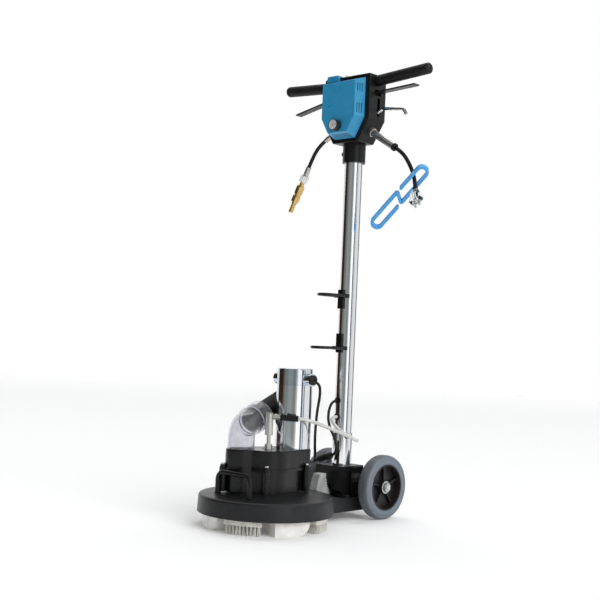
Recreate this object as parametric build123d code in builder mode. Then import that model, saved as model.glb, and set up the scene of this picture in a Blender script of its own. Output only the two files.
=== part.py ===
from build123d import *
import os
from math import cos, pi, radians, sin, tan

# Rotary carpet cleaner: spinning brush head, drive motor, tilting pole and two wheels.
# Frame: X to the machine's right, Y to the rear, Z up, millimetres.  The origin is on the
# floor, under the middle of the machine.  Distances "behind the head axis" are measured
# along +Y from the axis of the spinning head.

os.makedirs("parts", exist_ok=True)

# ---- driving dimensions -------------------------------------------------------------
WHEEL_D = 152.4          # six inch wheels
WHEEL_IN = 68.9          # inner face of each wheel from the middle plane
WHEEL_OUT = 102.2        # outer face
TUBE_D = 44.45           # one and three quarter inch pole
TUBE_WALL = 2.0
DECK_R = 153.5
AXLE_OFFSET = 308.0      # wheel axle behind the head axis
POLE_OFFSET = 254.0      # pole axis behind the head axis
MOTOR_OFFSET = 78.0      # motor shaft behind the head axis
IDLER_OFFSET = 42.0      # idler shaft behind the head axis
PIVOT_Z = 98.0           # tilt pivot of the pole
AXLE_D = 12.7
PIVOT_D = 12.7
RUN_GAP = 0.05           # radial clearance of a running fit
FIT_GAP = 0.02           # radial clearance of a pressed or clamped fit

DECK_BOTTOM = 32.0
DECK_SHOULDER = 70.4
DECK_WALL = 4.5
DECK_TOP_R = 151.6       # radius where side and top would meet without the rounding
SHOULDER_R = 6.0
CASE_FLOOR = 78.0
CASE_SEAM = 132.0
CASE_TOP = 172.0
CASE_WALL = 3.5
HEAD_LOBE_R = 55.0
MOTOR_LOBE_R = 43.0
ELBOW_LOBE_R = 34.0
ELBOW_X, ELBOW_BACK = -34.0, -52.0

TAIL_HALF = 54.0         # half width of the deck's tail
TAIL_TOP = 51.0
TAIL_BOTTOM = 20.0
TAIL_END = 300.0

MOTOR_R = 41.3
MOTOR_TOP = 354.0
MOTOR_SEAM = 315.0

POLE_TOP = 900.0
HOUSE_HALF = 72.2        # control housing, upper half width
HOUSE_FOOT_HALF = 39.5   # its half width at the bottom
HOUSE_FRONT = 217.0      # front and rear faces behind the head axis
HOUSE_REAR = 279.0
HOUSE_TOP = 1064.0
HOUSE_WAIST = 955.7      # where the sides turn in
HOUSE_BOTTOM = 902.0
HOUSE_WALL = 3.5
GRIP_R = 13.3
GRIP_RISE = 3.6          # degrees that each grip rises outwards
GRIP_END = 227.0
BAR_R = 10.0
KNOB_Z = 938.0

GEAR_MODULE = 1.5
DRIVEN_TEETH, IDLER_SMALL, IDLER_BIG, PINION_TEETH = 40, 16, 34, 14

HEAD_Y = (DECK_R - AXLE_OFFSET - WHEEL_D / 2) / 2
MOTOR_Y = HEAD_Y + MOTOR_OFFSET
IDLER_Y = HEAD_Y + IDLER_OFFSET
POLE_Y = HEAD_Y + POLE_OFFSET
AXLE_Y = HEAD_Y + AXLE_OFFSET
AXLE_Z = WHEEL_D / 2

# Side view: local x runs back from the head axis, local y is height.
SIDE = Plane(origin=(0, HEAD_Y, 0), x_dir=(0, 1, 0), z_dir=(1, 0, 0))
HEAD_AXIS = Axis((0, HEAD_Y, 0), (0, 0, 1))
HEAD_SECTION = Plane(origin=(0, HEAD_Y, 0), x_dir=(1, 0, 0), z_dir=(0, -1, 0))


def front_plane(y):
    """Upright plane facing forwards: local x is X, local y is height."""
    return Plane(origin=(0, y, 0), x_dir=(1, 0, 0), z_dir=(0, -1, 0))


def level(z, x=0.0, y=HEAD_Y):
    """Level plane at height z with its origin over the point x, y."""
    return Plane(origin=(x, y, z))


def save(piece, label):
    piece.part.label = label
    export_step(piece.part, f"parts/{label}.step")


def corner_radii(points):
    """Largest easy arc at each inner corner of a cord's route."""
    radii = []
    for a, b, c in zip(points, points[1:], points[2:]):
        before, after = Vector(*b) - Vector(*a), Vector(*c) - Vector(*b)
        turn = radians(before.get_angle(after))
        radii.append(0.45 * min(before.length, after.length) / tan(turn / 2))
    return radii


def tube_along(points, diameter, name):
    """Solid round tube along a route of straight runs and tangent arcs."""
    radii = corner_radii(points)
    with BuildPart() as tube:
        with BuildLine() as path:
            FilletPolyline(*points, radius=radii)
        start = Vector(*points[1]) - Vector(*points[0])
        with BuildSketch(Plane(origin=points[0], z_dir=start)):
            Circle(diameter / 2)
        sweep(path=path.line)
    length = sum(edge.length for edge in path.edges())
    section = pi * diameter**2 / 4
    print(f"{name}: {length:.0f} mm, radii", [round(r) for r in radii],
          f"volume ratio {tube.part.volume / (section * length):.3f}")
    return tube


def bored_rod(base, direction, steps):
    """Turned piece: (radius, from, to) steps along a direction from its base point."""
    with BuildPart() as rod:
        for radius, start, stop in steps:
            at = Vector(*base) + Vector(*direction).normalized() * start
            with BuildSketch(Plane(origin=at, z_dir=direction)):
                Circle(radius)
            extrude(amount=stop - start)
    return rod


# ---- deck shroud: dished disc with a hollow tail towards the wheels -----------------
TAIL_LINE = [(118, 71), (146, 66), (170, 58), (215, TAIL_TOP), (TAIL_END, TAIL_TOP)]
CENTRE_HOLE_R = 28.0
EAR_IN, EAR_OUT = 41.0, 47.0
EAR_FRONT, EAR_REAR = 238.0, 326.0
with BuildPart() as deck_shroud:
    with BuildSketch(HEAD_SECTION) as deck_profile:
        with BuildLine():
            Polyline((0, DECK_BOTTOM), (DECK_R, DECK_BOTTOM), (DECK_TOP_R, DECK_SHOULDER),
                     (64, CASE_FLOOR), (0, CASE_FLOOR), close=True)
        make_face()
        fillet(deck_profile.vertices().sort_by_distance((DECK_TOP_R, DECK_SHOULDER))[0],
               SHOULDER_R)
    revolve(axis=HEAD_AXIS)
    with BuildSketch(SIDE):
        with BuildLine():
            Polyline(*TAIL_LINE, (TAIL_END, TAIL_BOTTOM), (118, TAIL_BOTTOM), close=True)
        make_face()
    extrude(amount=TAIL_HALF, both=True)
    fillet(deck_shroud.edges().filter_by(Axis.Z).group_by(Axis.Y)[-1], 10)
    with BuildSketch(HEAD_SECTION):
        with BuildLine():
            Polyline((0, TAIL_BOTTOM - 2), (DECK_R - DECK_WALL, TAIL_BOTTOM - 2),
                     (DECK_TOP_R - DECK_WALL, DECK_SHOULDER - 7), (64, 72), (0, 72), close=True)
        make_face()
    revolve(axis=HEAD_AXIS, mode=Mode.SUBTRACT)
    with BuildSketch(SIDE):
        with BuildLine():
            Polyline((160, TAIL_BOTTOM - 1), (160, 56), (170, 53), (215, 47),
                     (TAIL_END - 5, 47), (TAIL_END - 5, TAIL_BOTTOM - 1), close=True)
        make_face()
    extrude(amount=TAIL_HALF - 4, both=True, mode=Mode.SUBTRACT)
    with BuildSketch(level(CASE_FLOOR - 8)):
        Circle(CENTRE_HOLE_R)
        with Locations((ELBOW_X, ELBOW_BACK)):
            Circle(24)
    extrude(amount=10, mode=Mode.SUBTRACT)
    with BuildSketch(SIDE):
        with Locations((TAIL_END - 2.5, (TAIL_BOTTOM + 47.3) / 2)):
            Rectangle(7, 47.3 - TAIL_BOTTOM)
    extrude(amount=EAR_OUT + 0.5, both=True, mode=Mode.SUBTRACT)
    ear_span = EAR_REAR - EAR_FRONT
    with BuildSketch(level(TAIL_TOP - 6)):
        for side in (-1, 1):
            with Locations((side * (EAR_IN + EAR_OUT) / 2, EAR_FRONT + ear_span / 2)):
                Rectangle(EAR_OUT - EAR_IN + 1, ear_span + 1)
    extrude(amount=8, mode=Mode.SUBTRACT)
save(deck_shroud, "deck_shroud")

# ---- chassis arm: steel plate under the tail with two ears for pivot and axle -------
with BuildPart() as chassis_arm:
    with BuildSketch(level(41)):
        with Locations((0, (164 + EAR_REAR) / 2)):
            Rectangle(2 * EAR_OUT, EAR_REAR - 164)
    extrude(amount=6)
    with BuildSketch(level(30)):
        with Locations((0, (TAIL_END - 5 + 164) / 2)):
            Rectangle(2 * EAR_OUT, TAIL_END - 169)
            Rectangle(2 * EAR_OUT - 8, TAIL_END - 169, mode=Mode.SUBTRACT)
    extrude(amount=11)
    for side in (-1, 1):
        with BuildSketch(SIDE.offset(side * (EAR_IN + EAR_OUT) / 2)):
            with BuildLine():
                Polyline((EAR_FRONT, 41), (EAR_FRONT, 112), (EAR_FRONT + 10, 122), (278, 122),
                         (EAR_REAR, 92), (EAR_REAR, 52), (EAR_REAR - 10, 41), close=True)
            make_face()
            with Locations((POLE_OFFSET, PIVOT_Z)):
                Circle(PIVOT_D / 2 + RUN_GAP, mode=Mode.SUBTRACT)
            with Locations((AXLE_OFFSET, AXLE_Z)):
                Circle(AXLE_D / 2 + RUN_GAP, mode=Mode.SUBTRACT)
        extrude(amount=(EAR_OUT - EAR_IN) / 2, both=True)
save(chassis_arm, "chassis_arm")

# ---- gear case: body with screw columns, and a lobed cover --------------------------
CASE_SCREWS = [(41, -43.5), (48.6, 78), (-53, -85.8), (-58.4, 13.5), (-48.6, 78), (0, 125.9)]
SHAFTS_BACK = (0.0, IDLER_OFFSET, MOTOR_OFFSET)
SCREW_COLUMN_R, SCREW_EAR_R = 8.5, 7.0
SCREW_HOLE_R, SCREW_SHANK_R, SCREW_HEAD_R = 3.0, 2.4, 4.6
HEAD_BEARING_R, DUCT_LOW_R, DUCT_HIGH_R = 17.5, 22.0, 24.0
SHAFT_R = 6.0


def case_outline(inset):
    """Outline of the case: one lobe at the head, one at the motor, one at the elbow."""
    with BuildSketch() as outline:
        with BuildSketch(mode=Mode.PRIVATE) as drive:
            Circle(HEAD_LOBE_R - inset)
            with Locations((0, MOTOR_OFFSET)):
                Circle(MOTOR_LOBE_R - inset)
            make_hull()
        add(drive.sketch)
        with BuildSketch(mode=Mode.PRIVATE) as duct:
            with Locations((ELBOW_X, ELBOW_BACK)):
                Circle(ELBOW_LOBE_R - inset)
            with Locations((ELBOW_X / 3, ELBOW_BACK / 3)):
                Circle(ELBOW_LOBE_R - inset)
            make_hull()
        add(duct.sketch)
    return outline.sketch


outer_outline = case_outline(0)
flange_outline = case_outline(-2.5)
lower_outline = case_outline(3)
inner_outline = case_outline(3 + CASE_WALL)
cover_cavity = case_outline(CASE_WALL)
ELBOW_BORE_R = 30.6
SWIVEL_HOLE_R = 14.0

with BuildPart() as gear_case_body:
    with BuildSketch(level(CASE_FLOOR)):
        add(lower_outline)
        for x, back in CASE_SCREWS:
            with Locations((x, back)):
                Circle(SCREW_COLUMN_R)
    extrude(amount=CASE_SEAM - CASE_FLOOR)
    with BuildSketch(level(CASE_SEAM - 6)):
        add(flange_outline)
    extrude(amount=6)
    with BuildSketch(level(CASE_FLOOR + 4)):
        add(inner_outline)
    extrude(amount=CASE_SEAM - CASE_FLOOR - 4, mode=Mode.SUBTRACT)
    with BuildSketch(level(CASE_FLOOR)):
        for back in SHAFTS_BACK:
            with Locations((0, back)):
                Circle(22 if back == 0 else 12)
    extrude(amount=16)
    with BuildSketch(level(CASE_FLOOR)):
        Circle(HEAD_BEARING_R)
        with Locations((ELBOW_X, ELBOW_BACK)):
            Circle(DUCT_LOW_R)
    extrude(amount=16, mode=Mode.SUBTRACT)
    with BuildSketch(level(CASE_FLOOR + 4)):
        for back in (IDLER_OFFSET, MOTOR_OFFSET):
            with Locations((0, back)):
                Circle(SHAFT_R + RUN_GAP)
    extrude(amount=14, mode=Mode.SUBTRACT)
    with BuildSketch(level(CASE_SEAM)):
        for x, back in CASE_SCREWS:
            with Locations((x, back)):
                Circle(2.5)
    extrude(amount=-14, mode=Mode.SUBTRACT)
save(gear_case_body, "gear_case_body")

with BuildPart() as gear_case_cover:
    with BuildSketch(level(CASE_SEAM)):
        add(outer_outline)
    extrude(amount=CASE_TOP - CASE_SEAM)
    fillet(gear_case_cover.faces().sort_by(Axis.Z)[-1].edges(), 4)
    with BuildSketch(level(CASE_SEAM)):
        for x, back in CASE_SCREWS:
            with Locations((x, back)):
                Circle(SCREW_EAR_R)
    extrude(amount=5)
    with BuildSketch(level(CASE_SEAM)):
        add(cover_cavity)
    extrude(amount=CASE_TOP - CASE_SEAM - 6, mode=Mode.SUBTRACT)
    with BuildSketch(level(CASE_TOP - 14)):
        with Locations((ELBOW_X, ELBOW_BACK)):
            Circle(ELBOW_LOBE_R - 1)
        with Locations((0, IDLER_OFFSET)):
            Circle(12)
    extrude(amount=9)
    with BuildSketch(level(CASE_SEAM - 1)):
        Circle(SWIVEL_HOLE_R)
        with Locations((0, MOTOR_OFFSET)):
            Circle(12)
    extrude(amount=CASE_TOP - CASE_SEAM + 2, mode=Mode.SUBTRACT)
    with BuildSketch(level(CASE_SEAM - 1)):
        with Locations((ELBOW_X, ELBOW_BACK)):
            Circle(DUCT_HIGH_R)
    extrude(amount=CASE_TOP - CASE_SEAM + 2, mode=Mode.SUBTRACT)
    with BuildSketch(level(CASE_TOP - 10)):
        with Locations((ELBOW_X, ELBOW_BACK)):
            Circle(ELBOW_BORE_R)
    extrude(amount=11, mode=Mode.SUBTRACT)
    with BuildSketch(level(CASE_SEAM)):
        with Locations((0, IDLER_OFFSET)):
            Circle(SHAFT_R + RUN_GAP)
    extrude(amount=CASE_TOP - CASE_SEAM - 5, mode=Mode.SUBTRACT)
    with BuildSketch(level(CASE_SEAM - 1)):
        for x, back in CASE_SCREWS:
            with Locations((x, back)):
                Circle(SCREW_HOLE_R)
    extrude(amount=12, mode=Mode.SUBTRACT)
    with BuildSketch(level(CASE_SEAM, ELBOW_X, HEAD_Y + ELBOW_BACK)):
        with Locations((-ELBOW_LOBE_R - 1.5, 4)):
            Rectangle(6, 3)
    extrude(amount=25)
save(gear_case_cover, "gear_case_cover")

# ---- drive train: driven gear, idler pair and motor armature ------------------------
ADDENDUM, DEDENDUM = 0.9 * GEAR_MODULE, 1.2 * GEAR_MODULE
DRIVEN_Z, BIG_Z, GEAR_W = 97.0, 120.0, 12.0


def gear_sketch(teeth, first_tooth):
    """Toothed outline centred on the local origin; first_tooth is an angle in degrees."""
    pitch_r = GEAR_MODULE * teeth / 2
    root_r = pitch_r - DEDENDUM
    pitch = pi * GEAR_MODULE
    with BuildSketch() as outline:
        Circle(root_r)
        with PolarLocations(root_r - 0.4, teeth, start_angle=first_tooth):
            Polygon((0, -0.27 * pitch), (ADDENDUM + DEDENDUM + 0.4, -0.12 * pitch),
                    (ADDENDUM + DEDENDUM + 0.4, 0.12 * pitch), (0, 0.27 * pitch), align=None)
    return outline.sketch


SPINDLE_R = 10.0
with BuildPart() as driven_gear:
    with BuildSketch(level(DRIVEN_Z)):
        add(gear_sketch(DRIVEN_TEETH, 90))
        Circle(SPINDLE_R + FIT_GAP, mode=Mode.SUBTRACT)
    extrude(amount=GEAR_W)
save(driven_gear, "driven_gear")

with BuildPart() as idler_gears:
    with BuildSketch(level(82.5, 0, IDLER_Y)):
        Circle(SHAFT_R)
    extrude(amount=84)
    with BuildSketch(level(DRIVEN_Z, 0, IDLER_Y)):
        add(gear_sketch(IDLER_SMALL, -90 + 180 / IDLER_SMALL))
    extrude(amount=GEAR_W + 1)
    with BuildSketch(level(BIG_Z, 0, IDLER_Y)):
        add(gear_sketch(IDLER_BIG, 90))
    extrude(amount=GEAR_W)
save(idler_gears, "idler_gears")

SHAFT_END_R = 5.0
with BuildPart() as motor_armature:
    with BuildSketch(level(BIG_Z, 0, MOTOR_Y)):
        add(gear_sketch(PINION_TEETH, -90 + 180 / PINION_TEETH))
    extrude(amount=GEAR_W + 1)
    for radius, low, high in ((SHAFT_R, 82.5, 305), (30, 190, 298), (16, 304, 324),
                              (SHAFT_END_R, 324, 345)):
        with BuildSketch(level(low, 0, MOTOR_Y)):
            Circle(radius)
        extrude(amount=high - low)
save(motor_armature, "motor_armature")

# ---- motor: polished can, end bell with bosses, two brush caps ----------------------
MOTOR_WALL = 3.0
CAP_Z, CAP_BOSS_R, CAP_R = 329.5, 14.5, 11.5
CAP_BOSS_END, CAP_END = 56.0, 59.5
with BuildPart() as motor_can:
    with BuildSketch(level(CASE_TOP, 0, MOTOR_Y)):
        Circle(MOTOR_R)
    extrude(amount=MOTOR_SEAM - CASE_TOP)
    with BuildSketch(level(CASE_TOP + 7, 0, MOTOR_Y)):
        Circle(MOTOR_R - MOTOR_WALL)
    extrude(amount=MOTOR_SEAM - CASE_TOP, mode=Mode.SUBTRACT)
    with BuildSketch(level(CASE_TOP, 0, MOTOR_Y)):
        Circle(12)
    extrude(amount=8, mode=Mode.SUBTRACT)
save(motor_can, "motor_can")

with BuildPart() as motor_end_bell:
    with BuildSketch(level(MOTOR_SEAM, 0, MOTOR_Y)):
        Circle(MOTOR_R)
    extrude(amount=MOTOR_TOP - MOTOR_SEAM)
    fillet(motor_end_bell.edges().group_by(Axis.Z)[-1], 2.5)
    for side in (-1, 1):
        with BuildSketch(Plane(origin=(side * 34, MOTOR_Y, CAP_Z), z_dir=(side, 0, 0))):
            Circle(CAP_BOSS_R)
        extrude(amount=CAP_BOSS_END - 34)
    with BuildSketch(level(MOTOR_SEAM - 15, 0, MOTOR_Y)):
        Circle(MOTOR_R - MOTOR_WALL)
    extrude(amount=MOTOR_TOP - MOTOR_SEAM + 11, mode=Mode.SUBTRACT)
    with BuildSketch(level(MOTOR_TOP - 16, 0, MOTOR_Y)):
        Circle(9)
    extrude(amount=13)
    with BuildSketch(level(MOTOR_TOP - 16, 0, MOTOR_Y)):
        Circle(SHAFT_END_R + RUN_GAP)
    extrude(amount=10, mode=Mode.SUBTRACT)
    for side in (-1, 1):
        with BuildSketch(Plane(origin=(side * 30, MOTOR_Y, CAP_Z), z_dir=(side, 0, 0))):
            Circle(8)
        extrude(amount=30, mode=Mode.SUBTRACT)
save(motor_end_bell, "motor_end_bell")

with BuildPart() as motor_brush_caps:
    for side in (-1, 1):
        with BuildSketch(Plane(origin=(side * 45, MOTOR_Y, CAP_Z), z_dir=(side, 0, 0))):
            Circle(7.9)
        extrude(amount=CAP_BOSS_END - 45)
        with BuildSketch(Plane(origin=(side * CAP_BOSS_END, MOTOR_Y, CAP_Z),
                               z_dir=(side, 0, 0))):
            Circle(CAP_R)
            Rectangle(3, 14, mode=Mode.SUBTRACT)
        extrude(amount=CAP_END - CAP_BOSS_END)
save(motor_brush_caps, "motor_brush_caps")

# ---- spinning head: spindle, plate, brush blocks, bristles and vacuum shoes ---------
PLATE_LOW, PLATE_HIGH, PLATE_R = 32.0, 42.0, 139.0
BRUSH_R, BRUSH_IN = 141.4, 92.0
BRISTLE_TOP = 20.0
STATIONS = 4
FIRST_SHOE = -19.0       # direction of the first shoe, degrees from +X
SHOE_SPAN, BRUSH_SPAN = 42.0, 36.0
HEX_R = 8.6

with BuildPart() as spindle:
    for radius, low, high in ((27, PLATE_HIGH, 50), (SPINDLE_R, 50, CASE_TOP)):
        with BuildSketch(level(low)):
            Circle(radius)
        extrude(amount=high - low)
save(spindle, "spindle")

with BuildPart() as head_bearings:
    for radius, low, high in ((HEAD_BEARING_R - RUN_GAP, 80, 92), (SWIVEL_HOLE_R - 0.05, 159, 171)):
        with BuildSketch(level(low)):
            Circle(radius)
            Circle(SPINDLE_R + RUN_GAP, mode=Mode.SUBTRACT)
        extrude(amount=high - low)
save(head_bearings, "head_bearings")

with BuildPart() as rotor_plate:
    with BuildSketch(level(PLATE_LOW)):
        Circle(PLATE_R)
        with PolarLocations(62, STATIONS, start_angle=FIRST_SHOE + 45):
            Circle(17, mode=Mode.SUBTRACT)
    extrude(amount=PLATE_HIGH - PLATE_LOW)
save(rotor_plate, "rotor_plate")


def sector(inner, outer, span):
    """Ring sector centred on the local X direction."""
    half = radians(span / 2)
    reach = outer / cos(half) + 5
    with BuildSketch() as shape:
        Circle(outer)
        Circle(inner, mode=Mode.SUBTRACT)
        Polygon((0, 0), (reach, -reach * tan(half)), (reach, reach * tan(half)),
                align=None, mode=Mode.INTERSECT)
    return shape.sketch


BRUSH_SHIFT = (SHOE_SPAN + BRUSH_SPAN) / 2 + 4
with BuildPart() as brush_blocks:
    with BuildSketch(level(BRISTLE_TOP)):
        with PolarLocations(0, STATIONS, start_angle=FIRST_SHOE + BRUSH_SHIFT):
            add(sector(BRUSH_IN, BRUSH_R, BRUSH_SPAN))
    extrude(amount=PLATE_LOW - BRISTLE_TOP)
save(brush_blocks, "brush_blocks")

with BuildPart() as bristles:
    with BuildSketch(level(0)):
        with PolarLocations(0, STATIONS, start_angle=FIRST_SHOE + BRUSH_SHIFT):
            add(sector(BRUSH_IN + 2, BRUSH_R - 1.4, BRUSH_SPAN - 1))
    extrude(amount=BRISTLE_TOP)
save(bristles, "bristles")

SHOE_HALF = 42.0
SLOT_HALF = 20.0
with BuildPart() as vacuum_shoes:
    for station in range(STATIONS):
        turn = radians(FIRST_SHOE + 360 / STATIONS * station)
        outward = Vector(cos(turn), sin(turn), 0)
        inner_point = Vector(0, HEAD_Y, 0) + outward * 96
        across = Vector(-sin(turn), cos(turn), 0)
        with BuildSketch(Plane(origin=inner_point, x_dir=across, z_dir=outward)):
            with BuildLine():
                Polyline((SHOE_HALF, PLATE_LOW), (-SHOE_HALF, PLATE_LOW), (-SHOE_HALF, 0),
                         (SLOT_HALF - 2, 0))
                ThreePointArc((SLOT_HALF - 2, 0), (32, 8), (SHOE_HALF, PLATE_LOW))
            make_face()
        extrude(amount=60)
        with BuildSketch(Plane(origin=inner_point + outward * 24 - across * 12, x_dir=across,
                               z_dir=(0, 0, 1))):
            Rectangle(2 * SLOT_HALF, 9)
        extrude(amount=PLATE_LOW - 4, mode=Mode.SUBTRACT)
    with BuildSketch(level(0)):
        Circle(BRUSH_R)
    extrude(amount=PLATE_LOW, mode=Mode.INTERSECT)
save(vacuum_shoes, "vacuum_shoes")

# ---- solution swivel on top of the spindle ------------------------------------------
SWIVEL_LOW, SWIVEL_TOP = 203.0, 253.0
NECK_R, NECK_TOP = 4.5, 214.0
FITTING_Z = 245.0
FITTING_WAY = Vector(0.79, 0.61, -0.04).normalized()
with BuildPart() as swivel_stem:
    with BuildSketch(level(CASE_TOP)):
        RegularPolygon(HEX_R, 6)
    extrude(amount=11)
    with BuildSketch(level(CASE_TOP + 11)):
        Circle(NECK_R)
    extrude(amount=NECK_TOP - CASE_TOP - 11)
save(swivel_stem, "swivel_stem")

SLEEVE_START, SLEEVE_END = 24.0, 66.0
with BuildPart() as swivel_body:
    with BuildSketch(level(SWIVEL_LOW)):
        Circle(9)
    extrude(amount=SWIVEL_TOP - SWIVEL_LOW)
    chamfer(swivel_body.edges().group_by(Axis.Z)[-1], 1.5)
    with BuildSketch(level(SWIVEL_LOW)):
        Circle(NECK_R + RUN_GAP)
    extrude(amount=NECK_TOP + 2 - SWIVEL_LOW, mode=Mode.SUBTRACT)
    fitting_base = Vector(0, HEAD_Y, FITTING_Z)
    for radius, start, stop in ((5, 6, 12), (7, 12, 18), (5, 18, SLEEVE_START),
                                (6.2, SLEEVE_START, SLEEVE_END)):
        with BuildSketch(Plane(origin=fitting_base + FITTING_WAY * start,
                               z_dir=FITTING_WAY)):
            Circle(radius)
        extrude(amount=stop - start)
save(swivel_body, "swivel_body")

# ---- clear vacuum elbow and ribbed hose cuff ----------------------------------------
OUT_TURN = radians(16.0)     # outlet's turn outwards from straight back
OUT_RISE = radians(16.0)     # outlet's rise above level
ELBOW_R, ELBOW_WALL = 30.5, 3.0
CORNER_Z = 220.0
LEG_LOW = 162.3
ELBOW_BEND = 32.0
SOCKET_R, SOCKET_IN_R = 34.0, 31.0
OUT_LEN = 46.0
ELBOW_PLANE = Plane(origin=(ELBOW_X, HEAD_Y + ELBOW_BACK, 0),
                    x_dir=(-sin(OUT_TURN), cos(OUT_TURN), 0),
                    z_dir=(cos(OUT_TURN), sin(OUT_TURN), 0))
OUT_WAY = Vector(-sin(OUT_TURN) * cos(OUT_RISE), cos(OUT_TURN) * cos(OUT_RISE),
                 sin(OUT_RISE))
CORNER = Vector(ELBOW_X, HEAD_Y + ELBOW_BACK, CORNER_Z)


def outlet_plane(distance):
    return Plane(origin=CORNER + OUT_WAY * distance, z_dir=OUT_WAY)


with BuildPart() as vacuum_elbow:
    with BuildLine(ELBOW_PLANE) as elbow_path:
        FilletPolyline((0, LEG_LOW), (0, CORNER_Z),
                       (OUT_LEN * cos(OUT_RISE), CORNER_Z + OUT_LEN * sin(OUT_RISE)),
                       radius=ELBOW_BEND)
    with BuildSketch(level(LEG_LOW, ELBOW_X, HEAD_Y + ELBOW_BACK)):
        Circle(ELBOW_R)
    sweep(path=elbow_path.line)
    with BuildSketch(outlet_plane(OUT_LEN - 6)):
        Circle(SOCKET_R)
    extrude(amount=44)
    with BuildSketch(outlet_plane(OUT_LEN)):
        Circle(SOCKET_IN_R)
    extrude(amount=40, mode=Mode.SUBTRACT)
    with BuildSketch(level(LEG_LOW, ELBOW_X, HEAD_Y + ELBOW_BACK)):
        Circle(ELBOW_R - ELBOW_WALL)
    sweep(path=elbow_path.line, mode=Mode.SUBTRACT)
save(vacuum_elbow, "vacuum_elbow")

CUFF_R, CUFF_BORE_R, CUFF_END = 24.8, 22.0, 205.0
CUFF_RIBS = 16
with BuildPart() as hose_cuff:
    for radius, start, stop in ((SOCKET_IN_R - 0.1, OUT_LEN + 2, OUT_LEN + 18),
                                (CUFF_R, OUT_LEN + 18, CUFF_END)):
        with BuildSketch(outlet_plane(start)):
            Circle(radius)
        extrude(amount=stop - start)
    for rib in range(CUFF_RIBS):
        with BuildSketch(outlet_plane(OUT_LEN + 42 + 7 * rib)):
            Circle(CUFF_R + 1.3)
        extrude(amount=3.5)
    with BuildSketch(outlet_plane(OUT_LEN)):
        Circle(CUFF_BORE_R)
    extrude(amount=CUFF_END, mode=Mode.SUBTRACT)
save(hose_cuff, "hose_cuff")

# ---- carry handle at the front ------------------------------------------------------
LIFT_BAR_R, LIFT_HALF, LIFT_BACK, LIFT_TOP, LIFT_FOOT = 5.8, 50.5, -102.0, 122.0, 74.5
with BuildPart() as carry_handle:
    with BuildLine(front_plane(HEAD_Y + LIFT_BACK)) as lift_path:
        FilletPolyline((-LIFT_HALF, LIFT_FOOT), (-LIFT_HALF, LIFT_TOP), (LIFT_HALF, LIFT_TOP),
                       (LIFT_HALF, LIFT_FOOT), radius=17)
    with BuildSketch(level(LIFT_FOOT, -LIFT_HALF, HEAD_Y + LIFT_BACK)):
        Circle(LIFT_BAR_R)
    sweep(path=lift_path.line)
    for side in (-1, 1):
        with BuildSketch(level(LIFT_FOOT, side * LIFT_HALF, HEAD_Y + LIFT_BACK)):
            Circle(7.3)
        extrude(amount=3)
save(carry_handle, "carry_handle")

# ---- toothed quadrant, pole foot, pawl and the pivot bolt ---------------------------
TOOTH_ROOT_R, TOOTH_TIP_R = 66.0, 62.5
TOOTH_PITCH = 6.0
REST_ANGLE = 213.0       # pawl's direction from the pivot, degrees up from straight back
QUADRANT_HALF = 11.0


def around_pivot(radius, angle):
    return (POLE_OFFSET + radius * cos(radians(angle)), PIVOT_Z + radius * sin(radians(angle)))


with BuildPart() as quadrant:
    with BuildSketch(SIDE):
        with BuildLine():
            Polyline(around_pivot(TOOTH_ROOT_R, 172), (170, 107), (166, 104), (154.5, 66.5),
                     (154.5, 65), (170, 58.6), (200, 53.5), around_pivot(TOOTH_ROOT_R, 220))
            ThreePointArc(around_pivot(TOOTH_ROOT_R, 220), around_pivot(TOOTH_ROOT_R, 196),
                          around_pivot(TOOTH_ROOT_R, 172))
        make_face()
        for tooth in range(6):
            angle = REST_ANGLE + TOOTH_PITCH / 2 - TOOTH_PITCH * tooth
            Polygon(around_pivot(TOOTH_ROOT_R + 1, angle - 2.6),
                    around_pivot(TOOTH_TIP_R, angle - 0.6),
                    around_pivot(TOOTH_TIP_R, angle + 0.6),
                    around_pivot(TOOTH_ROOT_R + 1, angle + 2.6), align=None)
    extrude(amount=QUADRANT_HALF, both=True)
save(quadrant, "quadrant")

FOOT_HALF = 39.5
PAWL_HALF, PAWL_LOW, PAWL_HIGH = 8.0, 59.5, 68.5
PAWL_NOSE, PAWL_TAIL = 200.9, 224.5
with BuildPart() as pole_foot:
    with BuildSketch(SIDE):
        with BuildLine():
            Polyline((206, 124), (206, 68), (214, 60.5), (232, 56), (254, 54.5), (276, 59),
                     (286, 67), (290, 80), (290, 124), close=True)
        make_face()
    extrude(amount=FOOT_HALF, both=True)
    with BuildSketch(level(66, 0, POLE_Y)):
        Circle(TUBE_D / 2 + RUN_GAP)
    extrude(amount=60, mode=Mode.SUBTRACT)
    with BuildSketch(SIDE):
        with Locations((POLE_OFFSET, PIVOT_Z)):
            Circle(PIVOT_D / 2 + RUN_GAP)
    extrude(amount=FOOT_HALF, both=True, mode=Mode.SUBTRACT)
    with BuildSketch(SIDE):
        with Locations(((200 + 236) / 2, (PAWL_LOW + PAWL_HIGH) / 2)):
            Rectangle(36, PAWL_HIGH - PAWL_LOW + 0.6)
    extrude(amount=PAWL_HALF + 0.3, both=True, mode=Mode.SUBTRACT)
save(pole_foot, "pole_foot")

with BuildPart() as pawl:
    with BuildSketch(SIDE):
        with BuildLine():
            Polyline((PAWL_TAIL, PAWL_LOW), (PAWL_TAIL, PAWL_HIGH), (206, PAWL_HIGH),
                     (PAWL_NOSE + 2, 65), (PAWL_NOSE + 4, PAWL_LOW), close=True)
        make_face()
    extrude(amount=PAWL_HALF, both=True)
save(pawl, "pawl")

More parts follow.
